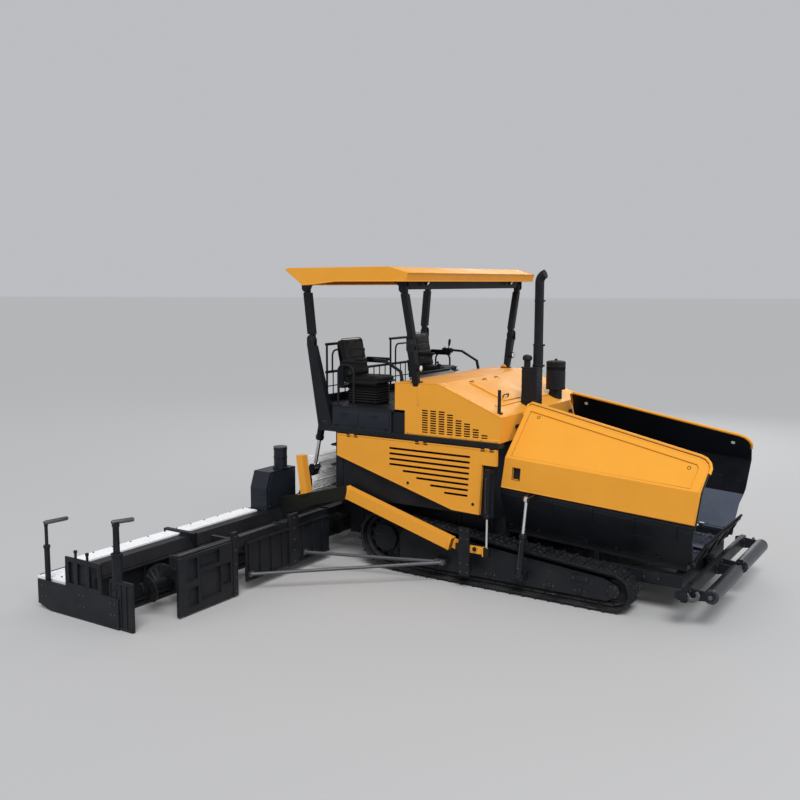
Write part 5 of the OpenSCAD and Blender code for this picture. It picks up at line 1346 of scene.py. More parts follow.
# Hopper, wings, apron and push rollers
hopperSettings = {
    "tilt": 3.7, "rear": 0.75, "height": 0.72, "hinge": 0.83, "wallOut": 0.27, "lean": 38.0,
    "leanStart": 0.86,
    "skin": 0.03, "slats": 9, "slatPitch": 0.235, "chains": (0.13, 0.65), "link": 0.0588,
}


def hopperFrame(s, side, outwards=True):
    # The hopper's own frame: u along the hinge line, v outwards, h up
    turn = turned(s["tilt"], "Y")
    flip = Matrix.Diagonal((1, side, 1, 1)) if outwards else Matrix.Identity(4)
    start = Vector((s["rear"], side * s["hinge"] if outwards else 0, s["height"]))
    return Matrix.Translation(start) @ turn @ flip


def skinPoint(s, u, h, out=0.0):
    # A place on the outer skin, out from its surface; the upper part leans in
    lean = radians(s["lean"])
    if h < s["leanStart"]:
        return Vector((u, s["wallOut"] + s["skin"] + out, h)), Vector((0, 1, 0))
    v = s["wallOut"] - (h - s["leanStart"]) * math.tan(lean) + s["skin"]
    normal = Vector((0, cos(lean), sin(lean)))
    return Vector((u, v, h)) + normal * out, normal


def makeWings(s):
    for side, word in bothSides:
        body = "wing_" + word
        at = hopperFrame(s, side)
        turn = at.to_3x3()
        bolts, trim, dark = [], bmesh.new(), bmesh.new()
        # Rolled edge round the skin
        edge = [(-0.004, 0.506), (0.02, 0.86), (0.055, 1.395), (0.088, 1.428), (2.144, 1.166), (2.2, 1.15),
            (2.242, 1.119), (2.265, 1.078), (2.262, 1.03), (2.244, 0.86), (2.226, 0.506)]
        addTube(trim, [at @ skinPoint(s, u, h, -0.005)[0] for u, h in edge], 0.0085, 10, closed=True)
        # Rolled bar along the top edge of the wing's plate
        top = [(0.03, 1.3), (0.04, 1.42), (0.075, 1.45), (2.15, 1.186), (2.214, 1.169), (2.261, 1.134),
            (2.287, 1.085), (2.284, 1.03)]
        lean = math.tan(radians(s["lean"]))
        bar = [at @ Vector((u, s["wallOut"] - (h - s["leanStart"]) * lean - 0.0125, h)) for u, h in top]
        addTube(trim, bar, 0.0185, 12)
        # Pressed frame of the recessed field
        field = [(0.08, 0.882), (0.114, 1.374), (2.146, 1.114), (2.172, 1.08), (2.15, 0.882)]
        addTube(trim, [at @ skinPoint(s, u, h, -0.004)[0] for u, h in field], 0.006, 8, closed=True)
        # Dark grommets of the lifting holes, and the lining of the hand slot
        for u, h in ((0.23, 1.322), (2.07, 1.072)):
            p, n = skinPoint(s, u, h)
            addLathe(dark, [(0.021, -0.016), (0.021, -0.012), (0.015, -0.0105), (0.013, -0.014), (0, -0.014)],
                facing(at @ p, turn @ n), 24)
        slotRim = [(0.122, 0.617), (0.218, 0.617), (0.218, 0.758), (0.122, 0.758)]
        addTube(dark, [at @ Vector((u, s["wallOut"] + s["skin"] + 0.001, h)) for u, h in slotRim], 0.004, 8,
            closed=True)
        savePiece("wingTrim." + word, trim, "yellowPaint", body, 40)
        savePiece("wingGrommets." + word, dark, "blackPaint", body, 40)
        # Stiffeners, rubbing strip and hinge gussets on the plate below the skin
        ribs = bmesh.new()
        out = s["wallOut"]
        for u in (0.62, 1.1, 1.58, 2.04):
            addOutline(ribs, [(out - 0.002, 0.47), (out + 0.022, 0.462), (out + 0.022, 0.425),
                (out - 0.055, 0.3), (out - 0.095, 0.235), (out - 0.1, 0.25)], u - 0.006, u + 0.006, "yz",
                0.001, at)
        addPlate(ribs, (0.0, out - 0.001, 0.452), (2.22, out + 0.016, 0.482), 0.004, 2, at)
        savePiece("wingRibs." + word, ribs, "blackPaint", body)
        bolts += [(at @ Vector((u, -0.004, 0.03)), turn @ Vector((0, -0.6, 0.8)), 0.018)
            for u0, u1 in ((0.06, 0.36), (1.0, 1.3), (1.85, 2.15)) for u in (u0 + 0.05, u1 - 0.05)]
        # Pale liners of the lifting holes on the inner face
        bosses = bmesh.new()
        lean = radians(s["lean"])
        for u, h in ((0.23, 1.322), (2.07, 1.072)):
            v = s["wallOut"] - (h - s["leanStart"]) * math.tan(lean) - 0.025 / cos(lean) + 0.008
            boss = facing(at @ Vector((u, v, h)), turn @ Vector((0, -cos(lean), -sin(lean))))
            addLathe(bosses, [(0.024, 0), (0.024, 0.006), (0.018, 0.009), (0.012, 0.007), (0, 0.007)], boss,
                20)
        savePiece("wingLiners." + word, bosses, "whitePaint", body)
        boltPiece("wingBolts." + word, body, bolts)
    print("paver: wings dressed")


def makeConveyors(s):
    at = hopperFrame(s, 1, False)
    chain, bolts = bmesh.new(), []
    for side in (-1, 1):
        for across in s["chains"]:
            y = side * across
            for k in range(35):
                u = 0.02 + s["link"] * k
                wide = 0.013 if k % 2 else 0.019
                for face in (-1, 1):
                    addPlate(chain, (u - 0.01, y + face * wide, -0.0835),
                        (u + s["link"] + 0.01, y + face * (wide + 0.005), -0.0565), 0.002, 1, at)
                addTube(chain, [at @ Vector((u, y - 0.026, -0.07)), at @ Vector((u, y + 0.026, -0.07))],
                    0.0085, 10)
    # Bolts of the slats, and the guard over the middle
    for k in range(s["slats"]):
        for y in (0.2, 0.4, 0.58):
            for side in (-1, 1):
                p = at @ Vector((0.08 + s["slatPitch"] * k, side * y, -0.06))
                bolts.append((p, at.to_3x3() @ Vector((0, 0, 1)), 0.018))
    addOutline(chain, [(-0.06, -0.0345), (-0.03, -0.01), (0.03, -0.01), (0.06, -0.0345)], 0.0, 2.1, "yz",
        0.002, at)
    savePiece("conveyorChains", chain, "wornSteel", "tractor")
    boltPiece("slatBolts", "tractor", bolts, "wornSteel")
    flap, strips = bmesh.new(), bmesh.new()
    apron = Vector((2.91, 0, 0.555))
    run = Vector((0.15, 0, 0.26)).normalized()
    out = Vector((run.z, 0, -run.x))
    rows = []
    for i in range(5):
        row = []
        for k in range(61):
            y = -0.77 + 1.54 * k / 60
            p = apron + run * (0.262 + 0.014 * i) + out * (0.0125 + 0.0014 * i * sin(9.0 * y) + 0.0006 * i
                * i)
            row.append((p.x, y, p.z))
        rows.append(row)
    for offset in (0.0, -0.008):
        grid = [[flap.verts.new(Vector(p) + out * offset) for p in row] for row in rows]
        for a, b in zip(grid, grid[1:]):
            joinRows(flap, a, b, closed=False)
    savePiece("apronFlap", flap, "rubber", "apron", 50)
    p = apron + run * 0.245 + out * 0.012
    middle = slopeFrame(run, out, p.x, p.z)
    addPlate(strips, (-0.018, -0.765, 0.0), (0.018, 0.765, 0.007), 0.002, 2, middle)
    for y in (-0.6, -0.2, 0.2, 0.6):
        addPlate(strips, (-0.235, y - 0.012, 0.0), (-0.025, y + 0.012, 0.018), 0.004, 2, middle)
    savePiece("apronStrips", strips, "blackPaint", "apron")
    boltPiece("apronBolts", "apron", [(middle @ Vector((0, y, 0.007)), out, 0.016)
        for y in [-0.72 + 0.12 * k for k in range(13)]])
    print("paver: conveyors and apron dressed")


pushBeamSettings = {"face": 3.005, "low": 0.295, "high": 0.43, "roller": (3.22, 0.36)}


def makePushBeam(s):
    x1, z0, z1 = s["face"], s["low"], s["high"]
    rollerX, rollerZ = s["roller"]
    beam, bolts, ends = bmesh.new(), [], bmesh.new()
    for side, word in bothSides:
        for y in (0.1, 1.18):
            addRib(beam, side * y, 0.045, (x1 - 0.004, z0 + 0.01), (x1 + 0.012, z1 - 0.01), 0.003)
            bolts += [((x1 + 0.012, side * (y + dy), z), (1, 0, 0), 0.018) for dy in (-0.03, 0.03)
                for z in (z0 + 0.03, z1 - 0.03)]
        # Pick-up hook and its pin at the end of the beam
        y = side * 1.262
        hook = [(3.005, 0.3), (3.055, 0.3), (3.12, 0.33), (3.135, 0.385), (3.11, 0.425), (3.085, 0.415),
            (3.1, 0.385), (3.08, 0.352), (3.045, 0.345), (3.005, 0.4)]
        addOutline(ends, hook, y - 0.014, y + 0.014, "xz", 0.004)
        addLathe(beam, [(0.046, 0), (0.046, 0.01), (0.034, 0.014), (0, 0.014)],
            facing((2.975, side * 1.3, 0.3625), (0, side, 0)), 24)
        addPlate(beam, (2.95, side * 0.3, z1 - 0.002), (3.0, side * 1.05, z1 + 0.008), 0.003)
        rings = bmesh.new()
        for y in (0.145, 0.64, 1.135):
            lo = facing((rollerX, side * y, rollerZ), (0, 1, 0))
            addLathe(rings, [(0.0795, -0.01), (0.0805, -0.007), (0.0805, 0.007), (0.0795, 0.01)], lo, 48)
        for y, face in ((0.119, -1), (1.161, 1)):
            cap = facing((rollerX, side * y, rollerZ), (0, side * face, 0))
            addLathe(rings, [(0.074, 0.0), (0.074, 0.0015), (0.04, 0.003), (0.03, 0.003)], cap, 40)
            for dx, dy in circle(6, 0.054):
                addBolt(rings, cap @ Vector((dx, dy, 0.002)), (0, side * face, 0), 0.013, 0.004)
        savePiece("rollerEnds." + word, rings, "rollerSteel", "push_roller_" + word)
        for y in (0.086, 1.196):
            lock = facing((rollerX, side * y, rollerZ), (0, side if y > 1 else -side, 0))
            addLathe(ends, [(0.024, 0.0), (0.024, 0.002), (0.016, 0.004), (0.0, 0.004)], lock, 20)
    addLathe(beam, [(0.052, 0.0), (0.052, 0.006), (0.04, 0.012), (0.016, 0.012), (0.014, 0.02), (0, 0.02)],
        Matrix.Translation((2.9, 0, 0.47)), 32)
    savePiece("pushBeamPlates", beam, "blackPaint", "push_beam")
    savePiece("pushHooks", ends, "castSteel", "push_beam")
    boltPiece("pushBeamBolts", "push_beam", bolts)
    print("paver: push beam dressed")


makeWings(hopperSettings)
makeConveyors(hopperSettings)
makePushBeam(pushBeamSettings)

# Hydraulic cylinders: glands, unions and rigid pipes clamped to the barrels
cylinderSettings = {
    # name: body, foot, head, barrel radius, barrel length
    "lift": ("lift_barrels", (-1.96, 0.9, 1.9), (-2.125, 0.9, 1.12), 0.048, 0.42),
    "level": ("tractor", (0.7, 1.33, 1.45), (0.7, 1.33, 0.873), 0.032, 0.577),
}


def dressBarrel(bm, steel, foot, tip, radius, side):
    foot, tip = Vector(foot), Vector(tip)
    at = facing(tip, tip - foot)
    length = (tip - foot).length
    addLathe(bm, [(radius - 0.002, -0.06), (radius + 0.007, -0.056), (radius + 0.007, -0.016),
        (radius + 0.002, -0.01), (radius + 0.002, 0.001)], at, 28)
    for (a, b), out in zip(circle(6, radius + 0.006), circle(6, 1.0)):
        addBolt(steel, at @ Vector((a, b, -0.036)), at.to_3x3() @ Vector((*out, 0)), 0.01, 0.004)
    outwards = at.inverted().to_3x3() @ Vector((0, side, 0))
    outwards.z = 0
    outwards.normalize()
    for z in (-0.085, -length + 0.1):
        p = outwards * (radius - 0.004)
        addLathe(steel, [(0.013, 0), (0.013, 0.012), (0.01, 0.014), (0.01, 0.022), (0.006, 0.024),
            (0, 0.024)], at @ facing((p.x, p.y, z), outwards), 6)
    # Rigid pipe along the barrel, from the gland to the foot
    a = outwards * (radius + 0.014)
    path = [(a.x, a.y, -0.085), (a.x, a.y, -0.12), (a.x, a.y, -length + 0.14), (a.x, a.y, -length + 0.1)]
    addTube(steel, [at @ Vector(p) for p in path], 0.0065, 10)


def makeCylinders(s):
    for side, word in bothSides:
        black, steel = bmesh.new(), bmesh.new()
        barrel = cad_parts["hopper_barrel_" + word].data
        axis = Vector((0.064431, -side * 0.055966, 0.996352))
        tip = max((v.co.copy() for v in barrel.vertices), key=lambda p: p.dot(axis))
        middle = hopperFrame(hopperSettings, side) @ Vector((0.391, 0.5, -0.436))
        tip = middle + axis * (tip - middle).dot(axis)
        dressBarrel(black, steel, middle, tip, 0.036, side)
        savePiece("hopperGland." + word, black, "blackPaint", "hopper_barrel_" + word)
        savePiece("hopperPipe." + word, steel, "zincBolt", "hopper_barrel_" + word)
    for name, (body, foot, head, radius, length) in s.items():
        black, steel = bmesh.new(), bmesh.new()
        run = (Vector(head) - Vector(foot)).normalized()
        for side in (-1, 1):
            start = Vector((foot[0], side * foot[1], foot[2]))
            dressBarrel(black, steel, start, start + run * length, radius, side)
        savePiece(name + "Glands", black, "blackPaint", body)
        savePiece(name + "Pipes", steel, "zincBolt", body)
    print("paver: cylinders dressed")


makeCylinders(cylinderSettings)

screedSettings = {
    "front": -2.3, "rear": -2.76, "top": 0.6, "main": 1.5, "joint": 3.0, "gate": 4.48,
    "boxes": (-2.64, -2.37), "walkway": 0.33, "walkRear": -3.3,
}


def makeScreed(s):
    plates, bolts, dark = bmesh.new(), [], bmesh.new()
    front, rear, top = s["front"], s["rear"], s["top"]
    # Bolted flanges where the sections meet, and the stiffeners between them
    for side in (-1, 1):
        for y in (s["main"] - 0.03, s["main"] + 0.03, s["joint"] - 0.045, s["joint"] + 0.045,
                s["gate"] - 0.06):
            lo, hi = side * (y - 0.008), side * (y + 0.008)
            addPlate(plates, (front - 0.002, lo, 0.03), (front + 0.014, hi, top - 0.125), 0.002)
            addPlate(plates, (rear - 0.012, lo, 0.03), (rear + 0.002, hi, top - 0.065), 0.002)
            addPlate(plates, (rear + 0.045, lo, top - 0.002), (front - 0.065, hi, top + 0.012), 0.002)
            for z in (0.1, 0.2, 0.3, 0.42):
                bolts.append(((front + 0.014, side * y, z), (1, 0, 0), 0.02))
                bolts.append(((rear - 0.012, side * y, z), (-1, 0, 0), 0.02))
        for y in (1.9, 2.3, 2.7, 3.4, 3.8, 4.2):
            addRib(plates, side * y, 0.005, (front - 0.001, 0.06), (front + 0.03, top - 0.13), 0.002)
        # Upper and lower chords along the front, and the tamper guard
        for a, b in ((1.535, 2.95), (3.05, 4.42)):
            lo, hi = side * a, side * b
            addPlate(plates, (front - 0.001, lo, top - 0.15), (front + 0.038, hi, top - 0.128), 0.004)
            addPlate(plates, (front - 0.001, lo, 0.075), (front + 0.03, hi, 0.095), 0.004)
            addPlate(plates, (front + 0.002, lo, 0.028), (front + 0.022, hi, 0.06), 0.006, 3)
            addPlate(plates, (rear - 0.02, lo, 0.38), (rear + 0.001, hi, 0.4), 0.004)
        # Heating and hydraulic boxes on the sections' tops and rear
        for y in (1.78, 2.55, 3.3, 4.05):
            addRib(dark, side * y, 0.13, (rear - 0.06, 0.425), (rear + 0.004, 0.53), 0.008, 3)
            addRib(dark, side * y, 0.12, (rear - 0.066, 0.435), (rear - 0.054, 0.52), 0.004)
            bolts += [((rear - 0.066, side * (y + dy), 0.505), (-1, 0, 0), 0.012) for dy in (-0.1, 0.1)]
        # Conduit clipped along the rear wall
        for a, b in ((1.56, 1.64), (1.92, 2.41), (2.69, 2.94), (3.06, 3.16), (3.44, 3.91), (4.19, 4.4)):
            addTube(dark, [(rear - 0.018, side * y, 0.455) for y in (a, b)], 0.011, 10)
            for y in (a + 0.03, b - 0.03):
                addRib(dark, side * y, 0.01, (rear - 0.032, 0.441), (rear + 0.002, 0.469), 0.003)
    for y in [-1.2 + 0.4 * k for k in range(7)]:
        addPlate(plates, (front - 0.001, y - 0.005, 0.06), (front + 0.03, y + 0.005, top - 0.13), 0.002)
    addPlate(plates, (front - 0.001, -1.46, top - 0.15), (front + 0.038, 1.46, top - 0.128), 0.004)
    addPlate(plates, (front + 0.002, -1.48, 0.028), (front + 0.022, 1.48, 0.06), 0.006, 3)
    addPlate(dark, (rear - 0.07, -0.42, 0.4), (rear + 0.004, 0.42, 0.545), 0.01, 3)
    for y in (-0.28, 0.0, 0.28):
        addPlate(dark, (rear - 0.078, y - 0.12, 0.415), (rear - 0.064, y + 0.12, 0.53), 0.004)
    savePiece("screedPlates", plates, "blackPaint", "screed")
    savePiece("screedBoxes", dark, "blueGreyPaint", "screed")
    boltPiece("screedBolts", "screed", bolts)
    print("paver: screed dressed")


def makeWalkways(s):
    # Raised lugs on the plates that people stand on, and their edge strips
    for label, fields in (("rearTread", [(s["walkRear"] + 0.05, s["rear"] - 0.03, 0.06, 4.4, s["walkway"])]),
            ("topTread", [(-2.7, -2.515, 1.7, 2.94, 0.62), (-2.7, -2.515, 3.06, 4.44, 0.62)])):
        bm = bmesh.new()
        for x0, x1, y0, y1, z in fields:
            nx, ny = round((x1 - x0) / 0.055), round((y1 - y0) / 0.075)
            for i in range(nx):
                for k in range(ny):
                    for side in (-1, 1):
                        x = x0 + (x1 - x0) * (i + 0.5) / nx
                        y = side * (y0 + (y1 - y0) * (k + 0.5) / ny)
                        turn = 45 if (i + k) % 2 else -45
                        at = Matrix.Translation((x, y, z)) @ turned(turn, "Z")
                        addOutline(bm, [(-0.018, 0), (0, 0.006), (0.018, 0), (0, -0.006)], 0.0, 0.003, "xy",
                            0, at)
        savePiece(label, bm, "whitePaint", "screed", 30)
    edge, bolts = bmesh.new(), []
    for side in (-1, 1):
        addPlate(edge, (s["walkRear"] + 0.001, side * 0.02, s["walkway"] - 0.036),
            (s["walkRear"] + 0.012, side * 4.4, s["walkway"] + 0.008), 0.003)
        bolts += [((x, side * y, s["walkway"]), (0, 0, 1), 0.018) for y in [0.32 + k for k in range(5)]
            for x in (s["rear"] - 0.26, s["rear"] - 0.06)]
        bolts += [(p, (0, 0, 1), 0.016) for a, b in ((1.66, 2.965), (3.035, 4.47))
            for p in along((-2.69, side * (a + 0.06), 0.62), (-2.69, side * (b - 0.06), 0.62), 6)]
    savePiece("walkwayEdges", edge, "wornSteel", "screed")
    boltPiece("walkwayBolts", "screed", bolts)
    print("paver: walkways dressed")


def makeDriveBoxes(s):
    x0, x1 = s["boxes"]
    covers, bolts, caps, light = bmesh.new(), [], bmesh.new(), bmesh.new()
    shape = [(1.02, 0.61), (1.02, 1.11), (1.54, 1.11), (1.62, 0.9), (1.62, 0.61)]
    for side in (-1, 1):
        outline = [(side * y, z) for y, z in shape]
        for x, out in ((x1, 0.008), (x0, -0.008)):
            inner = [tuple(p) for p in insetOutline(outline, 0.03)]
            lo, hi = sorted((x, x + out))
            addOutline(covers, inner, lo, hi, "yz", 0.002)
            bolts += [((x + out, p.x, p.y), (math.copysign(1, out), 0, 0), 0.018)
                for p in insetOutline(outline, 0.052)]
        # Ribs on the outer side wall, and the lid and clamps of the upright tank
        for z in (0.67, 0.75, 0.83):
            addPlate(covers, (x0 + 0.03, side * 1.618, z - 0.012), (x1 - 0.03, side * 1.628, z + 0.012),
                0.004)
        at = Matrix.Translation((-2.45, side * 1.23, 0))
        for z, r, h in ((1.112, 0.104, 0.016), (1.25, 0.0925, 0.02), (1.365, 0.0925, 0.018)):
            addLathe(caps, band(r, h, 0.012, 0.002), at @ Matrix.Translation((0, 0, z)), 36)
        addLathe(light, [(0.086, 0), (0.092, 0.002), (0.092, 0.012), (0.084, 0.015), (0, 0.015)],
            at @ Matrix.Translation((0, 0, 1.392)), 36)
        bolts += [((-2.45 + dx, side * 1.23 + dy, 1.128), (0, 0, 1), 0.012) for dx, dy in circle(8, 0.096)]
    savePiece("driveCovers", covers, "blueGreyPaint", "screed")
    savePiece("driveCaps", caps, "blackPaint", "screed")
    savePiece("driveLids", light, "castSteel", "screed")
    boltPiece("driveBolts", "screed", bolts)
    # Welded end bands of the tow arms and the heads of their pins
    arms, steel = bmesh.new(), bmesh.new()
    lean = radians(16)
    for side in (-1, 1):
        at = Matrix.Translation((0.336, side * 1.33, 0.484)) @ Matrix.Rotation(math.pi + lean, 4, "Y")
        for d in (0.118, 1.64):
            addPlate(arms, (d - 0.018, -0.0575, -0.075), (d + 0.018, 0.0575, 0.075), 0.003, 2, at)
        addLathe(steel, [(0.04, 0), (0.04, 0.012), (0.03, 0.02), (0.012, 0.02), (0, 0.016)],
            facing((0.336, side * 1.3, 0.484), (0, side, 0)), 24)
        addLathe(steel, [(0.028, 0), (0.028, 0.003), (0.02, 0.004), (0, 0.004)],
            facing((0.56, side * 1.3655, 0.5), (0, side, 0)), 24)
    savePiece("armBands", arms, "yellowPaint", "screed")
    savePiece("towPinHeads", steel, "blackPaint", "tractor")
    # Folds and rolled edges of the heat shield
    shield, screws = bmesh.new(), []
    for a in (-14, 6, 26, 46, 66):
        r = radians(a)
        p = Vector((-2.365 + 0.281 * cos(r), 0, 0.896 + 1.2 * 0.281 * sin(r)))
        wide = 0.8 if 1.0 - 0.05 < p.z < 1.3 + 0.05 else 0.99
        addTube(shield, [(p.x, -wide, p.z), (p.x, wide, p.z)], 0.005, 8)
    for a in (-10, 20, 35):
        for y in (-0.75, 0.75):
            r = radians(a)
            n = Vector((cos(r), 0, sin(r) / 1.2)).normalized()
            p = Vector((-2.365 + 0.281 * cos(r), y, 0.896 + 1.2 * 0.281 * sin(r)))
            screws.append((p, n, 0.014))
    savePiece("shieldFolds", shield, "shieldSheet", "screed", 50)
    boltPiece("shieldScrews", "screed", screws)
    print("paver: drive boxes, tow arms and heat shield dressed")


makeScreed(screedSettings)
makeWalkways(screedSettings)
makeDriveBoxes(screedSettings)

gateSettings = {
    "inner": 4.48, "outer": 4.5, "spindles": ("rearSpindle", "frontSpindle"),
    # x, distance in from the plate, low z, sleeve's top, high z and radius, handle's reach along x and y
    "rearSpindle": (-3.075, 0.025, 0.25, 0.72, 0.97, 0.03, (-0.003, 0.035), (-0.26, 0.02)),
    "frontSpindle": (-1.97, 0.04, 0.42, 0.8, 1.13, 0.055, (-0.016, 0.07), (-0.18, 0.04)),
}


def makeEndGates(s):
    for side, word in bothSides:
        body = "end_gate_" + word
        frames, steel, grips, bolts = bmesh.new(), bmesh.new(), bmesh.new(), []
        out = side * s["outer"]
        # Rolled lower edge and the frame round the window of the slide
        rail = [(-3.2, 0.07), (-2.996, 0.012), (-1.91, 0.012)]
        addTube(frames, [(x, side * (s["outer"] - 0.004), z) for x, z in rail], 0.0085, 10)
        window = [(-2.7, 0.35), (-2.18, 0.35), (-2.18, 0.64), (-2.7, 0.64)]
        addTube(frames, [(x, out - side * 0.004, z) for x, z in window], 0.0075, 10, closed=True)
        bolts += [((x, out, z), (0, side, 0), 0.018) for x in (-3.12, -3.06, -2.5, -2.44, -2.02, -1.96)
            for z in (0.15, 0.27)]
        # Spindles in thick sleeves, with collars, threads and turned cross handles
        for name in s["spindles"]:
            x, inset, z0, sleeve, z1, r, (xa, xb), (ya, yb) = s[name]
            y = side * (s["inner"] - inset)
            for z, h, extra in ((z0 + 0.01, 0.03, 0.006), (sleeve - 0.035, 0.035, 0.007),
                    (z1 - 0.045, 0.03, -0.3 * r)):
                addLathe(steel, [(r - 0.012, 0), (r + extra, 0.002), (r + extra, h - 0.002), (r - 0.012, h)],
                    Matrix.Translation((x, y, z)), 28)
            for k in range(12):
                addLathe(steel, [(r * 0.58, 0), (r * 0.66, 0.004), (r * 0.58, 0.008)],
                    Matrix.Translation((x, y, sleeve + 0.01 + 0.0105 * k)), 20)
            ends = [Vector((x + a, y + side * b, z1)) for a, b in ((xa, yb), (xb, ya))]
            addTube(grips, [ends[0], ends[0].lerp(ends[1], 0.06), ends[0].lerp(ends[1], 0.94), ends[1]],
                [0.018, 0.024, 0.024, 0.018], 14)
        # Uprights in the window of the slide, with their latches
        for x in (-2.56, -2.375):
            addPlate(frames, (x - 0.03, side * (s["inner"] + 0.004), 0.368),
                (x + 0.03, side * (s["outer"] - 0.002), 0.618), 0.004)
            addLathe(frames, [(0.014, 0), (0.014, 0.06), (0.02, 0.064), (0.02, 0.09), (0, 0.094)],
                Matrix.Translation((x, side * (s["inner"] + 0.008), 0.655)), 14)
        # Ribbed guard in front
        for x in (-2.035, -1.955, -1.88, -1.8, -1.722):
            addPlate(frames, (x - 0.008, side * (s["inner"] - 0.001), 0.01),
                (x + 0.008, side * (s["inner"] + 0.01), 0.51), 0.003)
        for z in (0.02, 0.5):
            addPlate(frames, (-2.04, side * (s["inner"] - 0.001), z - 0.01),
                (-1.717, side * (s["inner"] + 0.012), z + 0.01), 0.003)
        savePiece("gateFrames." + word, frames, "blackPaint", body)
        savePiece("gateGrips." + word, grips, "castSteel", body, 40)
        savePiece("gateSpindles." + word, steel, "blackPaint", body, 40)
        boltPiece("gateBolts." + word, body, bolts)
    print("paver: end gates dressed")


makeEndGates(gateSettings)

augerSettings = {
    "beam": -1.7, "plate": -1.635, "axis": (-1.95, 0.35),
    "fields": ((3.13, 3.27, 0.2, 0.44), (3.29, 3.6, 0.12, 0.44), (3.64, 3.78, 0.09, 0.3),
        (3.65, 3.8, 0.38, 0.62), (3.31, 3.61, 0.48, 0.63)),
}


def makeAugers(s):
    x, z = s["axis"]
    for side, word in bothSides:
        steel, bolts = bmesh.new(), []
        # Shaft collars and the split clamps that hold the flight
        for y in (0.085, 0.5, 1.0, 1.5, 2.0, 2.5, 2.9, 3.1, 3.6, 4.1):
            addLathe(steel, [(0.038, -0.022), (0.05, -0.02), (0.05, 0.02), (0.038, 0.022)],
                facing((x, side * y, z), (0, side, 0)), 24)
            for a in (0.6, math.pi + 0.6):
                bolts.append(((x + 0.05 * cos(a), side * y, z + 0.05 * sin(a)), (cos(a), 0, sin(a)), 0.018))
        addLathe(steel, [(0.052, 0.0), (0.052, 0.006), (0.03, 0.0068), (0, 0.0068)],
            facing((x, side * 4.15, z), (0, side, 0)), 24)
        savePiece("augerClamps." + word, steel, "trackSteel", "auger_" + word, 35)
        boltPiece("augerBolts." + word, "auger_" + word, bolts)
    beam, light, bolts = bmesh.new(), bmesh.new(), []
    bx = s["beam"]
    for side in (-1, 1):
        # Light bars along the beam's top
        for a, b in ((1.39, 1.88), (2.34, 2.95), (3.5, 3.9)):
            addPlate(light, (s["plate"] - 0.014, side * a, 0.684), (s["plate"] + 0.004, side * b, 0.7), 0.004)
        # Posts between the plates
        for a, b, z0, z1 in ((1.91, 2.08, 0.11, 0.76), (3.01, 3.09, 0.02, 0.76)):
            addPlate(beam, (s["plate"] - 0.015, side * a, z0), (s["plate"] + 0.03, side * b, z1), 0.006, 3)
            for k in range(5):
                high = z0 + 0.05 + (z1 - z0 - 0.1) * k / 4
                bolts.append(((s["plate"] + 0.03, side * (a + b) / 2, high), (1, 0, 0), 0.02))
        # Flanges of the beam's bolted lengths
        for y in (1.25, 2.2, 2.95, 3.9):
            addRib(beam, side * y, 0.01, (bx - 0.066, 0.556), (bx + 0.049, 0.684), 0.003)
            bolts += [((bx - 0.06, side * (y + 0.01), dz), (0, side, 0), 0.014) for dz in (0.575, 0.665)]
        # Frames round the pressed fields of the outer plates
        for y0, y1, z0, z1 in s["fields"]:
            loop = [(s["plate"] + 0.0265, side * y, z) for y, z in ((y0, z0), (y1, z0), (y1, z1), (y0, z1))]
            addTube(beam, loop, 0.004, 8, closed=True)
        for y in [1.4 + 0.2 * k for k in range(8)]:
            if 1.88 < y < 2.1:
                continue
            addRib(beam, side * y, 0.006, (s["plate"] - 0.001, 0.135), (s["plate"] + 0.016, 0.585), 0.003)
        lo, hi = side * 1.26, side * 2.84
        addPlate(beam, (s["plate"] - 0.001, lo, 0.122), (s["plate"] + 0.02, hi, 0.142), 0.004)
        addPlate(beam, (s["plate"] - 0.001, lo, 0.57), (s["plate"] + 0.02, hi, 0.592), 0.004)
        # Bearing housings on the hangers
        for face in (-1, 1):
            at = facing((x, side * (3.0 + face * 0.025), z), (0, side * face, 0))
            addLathe(beam, [(0.056, 0), (0.056, 0.01), (0.046, 0.014), (0.041, 0.014)], at, 28)
    # Ribs of the middle gear case
    for zz in (0.34, 0.44, 0.54):
        addPlate(beam, (x - 0.066, -0.038, zz - 0.01), (x + 0.066, 0.038, zz + 0.01), 0.004)
    savePiece("augerBeamParts", beam, "blackPaint", "tractor")
    savePiece("augerLightBars", light, "castSteel", "tractor")
    boltPiece("augerBeamBolts", "tractor", bolts)
    print("paver: augers dressed")


makeAugers(augerSettings)

chassisSettings = {"beam": 0.878, "guide": 1.366, "wall": 1.198, "rear": -1.562, "ladder": 1.05}


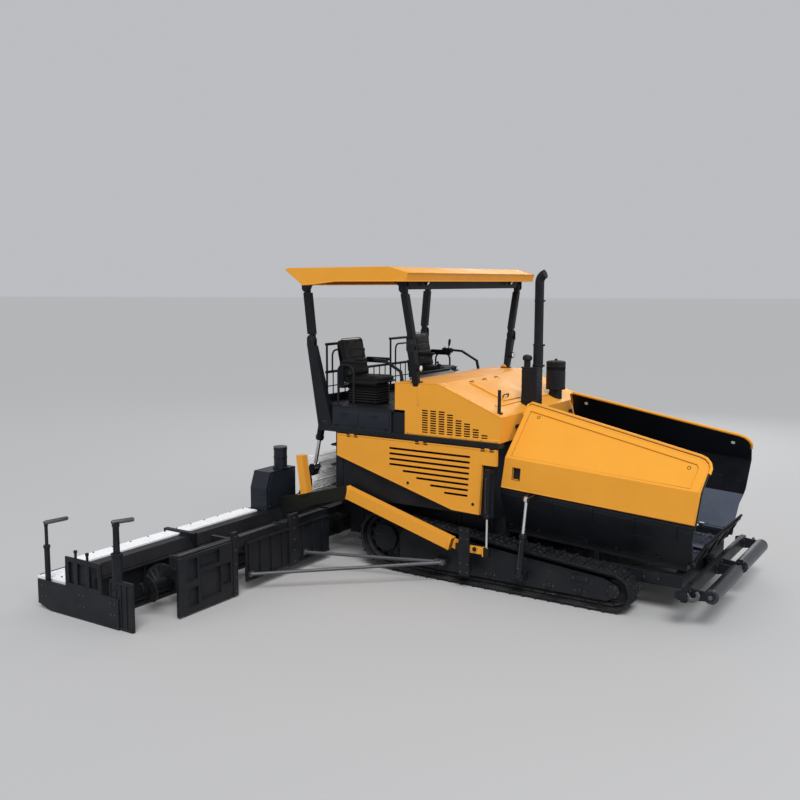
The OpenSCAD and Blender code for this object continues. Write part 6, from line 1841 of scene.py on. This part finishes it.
def makeChassisParts(s):
    parts, bolts = bmesh.new(), []
    for side in (-1, 1):
        # Ribs and flanges on the belly beams and on the final drives
        for xx in (-1.35, -1.05, 0.1, 0.55):
            addPlate(parts, (xx - 0.012, side * s["beam"], 0.33), (xx + 0.012, side * 0.9, 0.84), 0.003)
        for xx in (1.2, 1.6, 2.1, 2.5):
            addPlate(parts, (xx - 0.1, side * s["beam"], 0.315), (xx + 0.1, side * 0.892, 0.425), 0.004)
            bolts += [((xx + dx, side * 0.892, 0.37), (0, side, 0), 0.02) for dx in (-0.08, 0.08)]
        # Bolts of the tow guides
        bolts += [((xx, side * s["guide"], z), (0, side, 0), 0.02) for z in (0.2, 0.3, 0.6, 0.7)
            for xx in (0.375, 0.465)]
        # Stiffeners of the side walls
        for xx, top in ((-1.47, 1.36), (0.64, 1.43)):
            addPlate(parts, (xx - 0.03, side * s["wall"], 0.9), (xx + 0.03, side * 1.208, top), 0.003)
    # Rear wall: service covers with their grips, and ladder rungs beside them
    for y0, y1 in ((-0.62, -0.08), (0.08, 0.62)):
        addPlate(parts, (s["rear"], y0, 1.02), (s["rear"] + 0.014, y1, 1.58), 0.004)
        bolts += [((s["rear"], yy, zz), (-1, 0, 0), 0.016) for yy in (y0 + 0.04, y1 - 0.04)
            for zz in (1.06, 1.3, 1.54)]
        grip = [(-1.56, (y0 + y1) / 2 - 0.06, 1.5), (-1.59, (y0 + y1) / 2 - 0.06, 1.5),
            (-1.59, (y0 + y1) / 2 + 0.06, 1.5), (-1.56, (y0 + y1) / 2 + 0.06, 1.5)]
        addTube(parts, cornerPath(grip, 0.012), 0.006, 10)
    for yy in (-s["ladder"], s["ladder"]):
        for zz in (0.98, 1.24, 1.5):
            rung = [(-1.552, yy - 0.14, zz), (-1.64, yy - 0.14, zz), (-1.64, yy + 0.14, zz),
                (-1.552, yy + 0.14, zz)]
            addTube(parts, cornerPath(rung, 0.03), 0.012, 12)
    savePiece("chassisParts", parts, "blackPaint", "tractor")
    boltPiece("chassisBolts", "tractor", bolts)
    print("paver: chassis dressed")


makeChassisParts(chassisSettings)
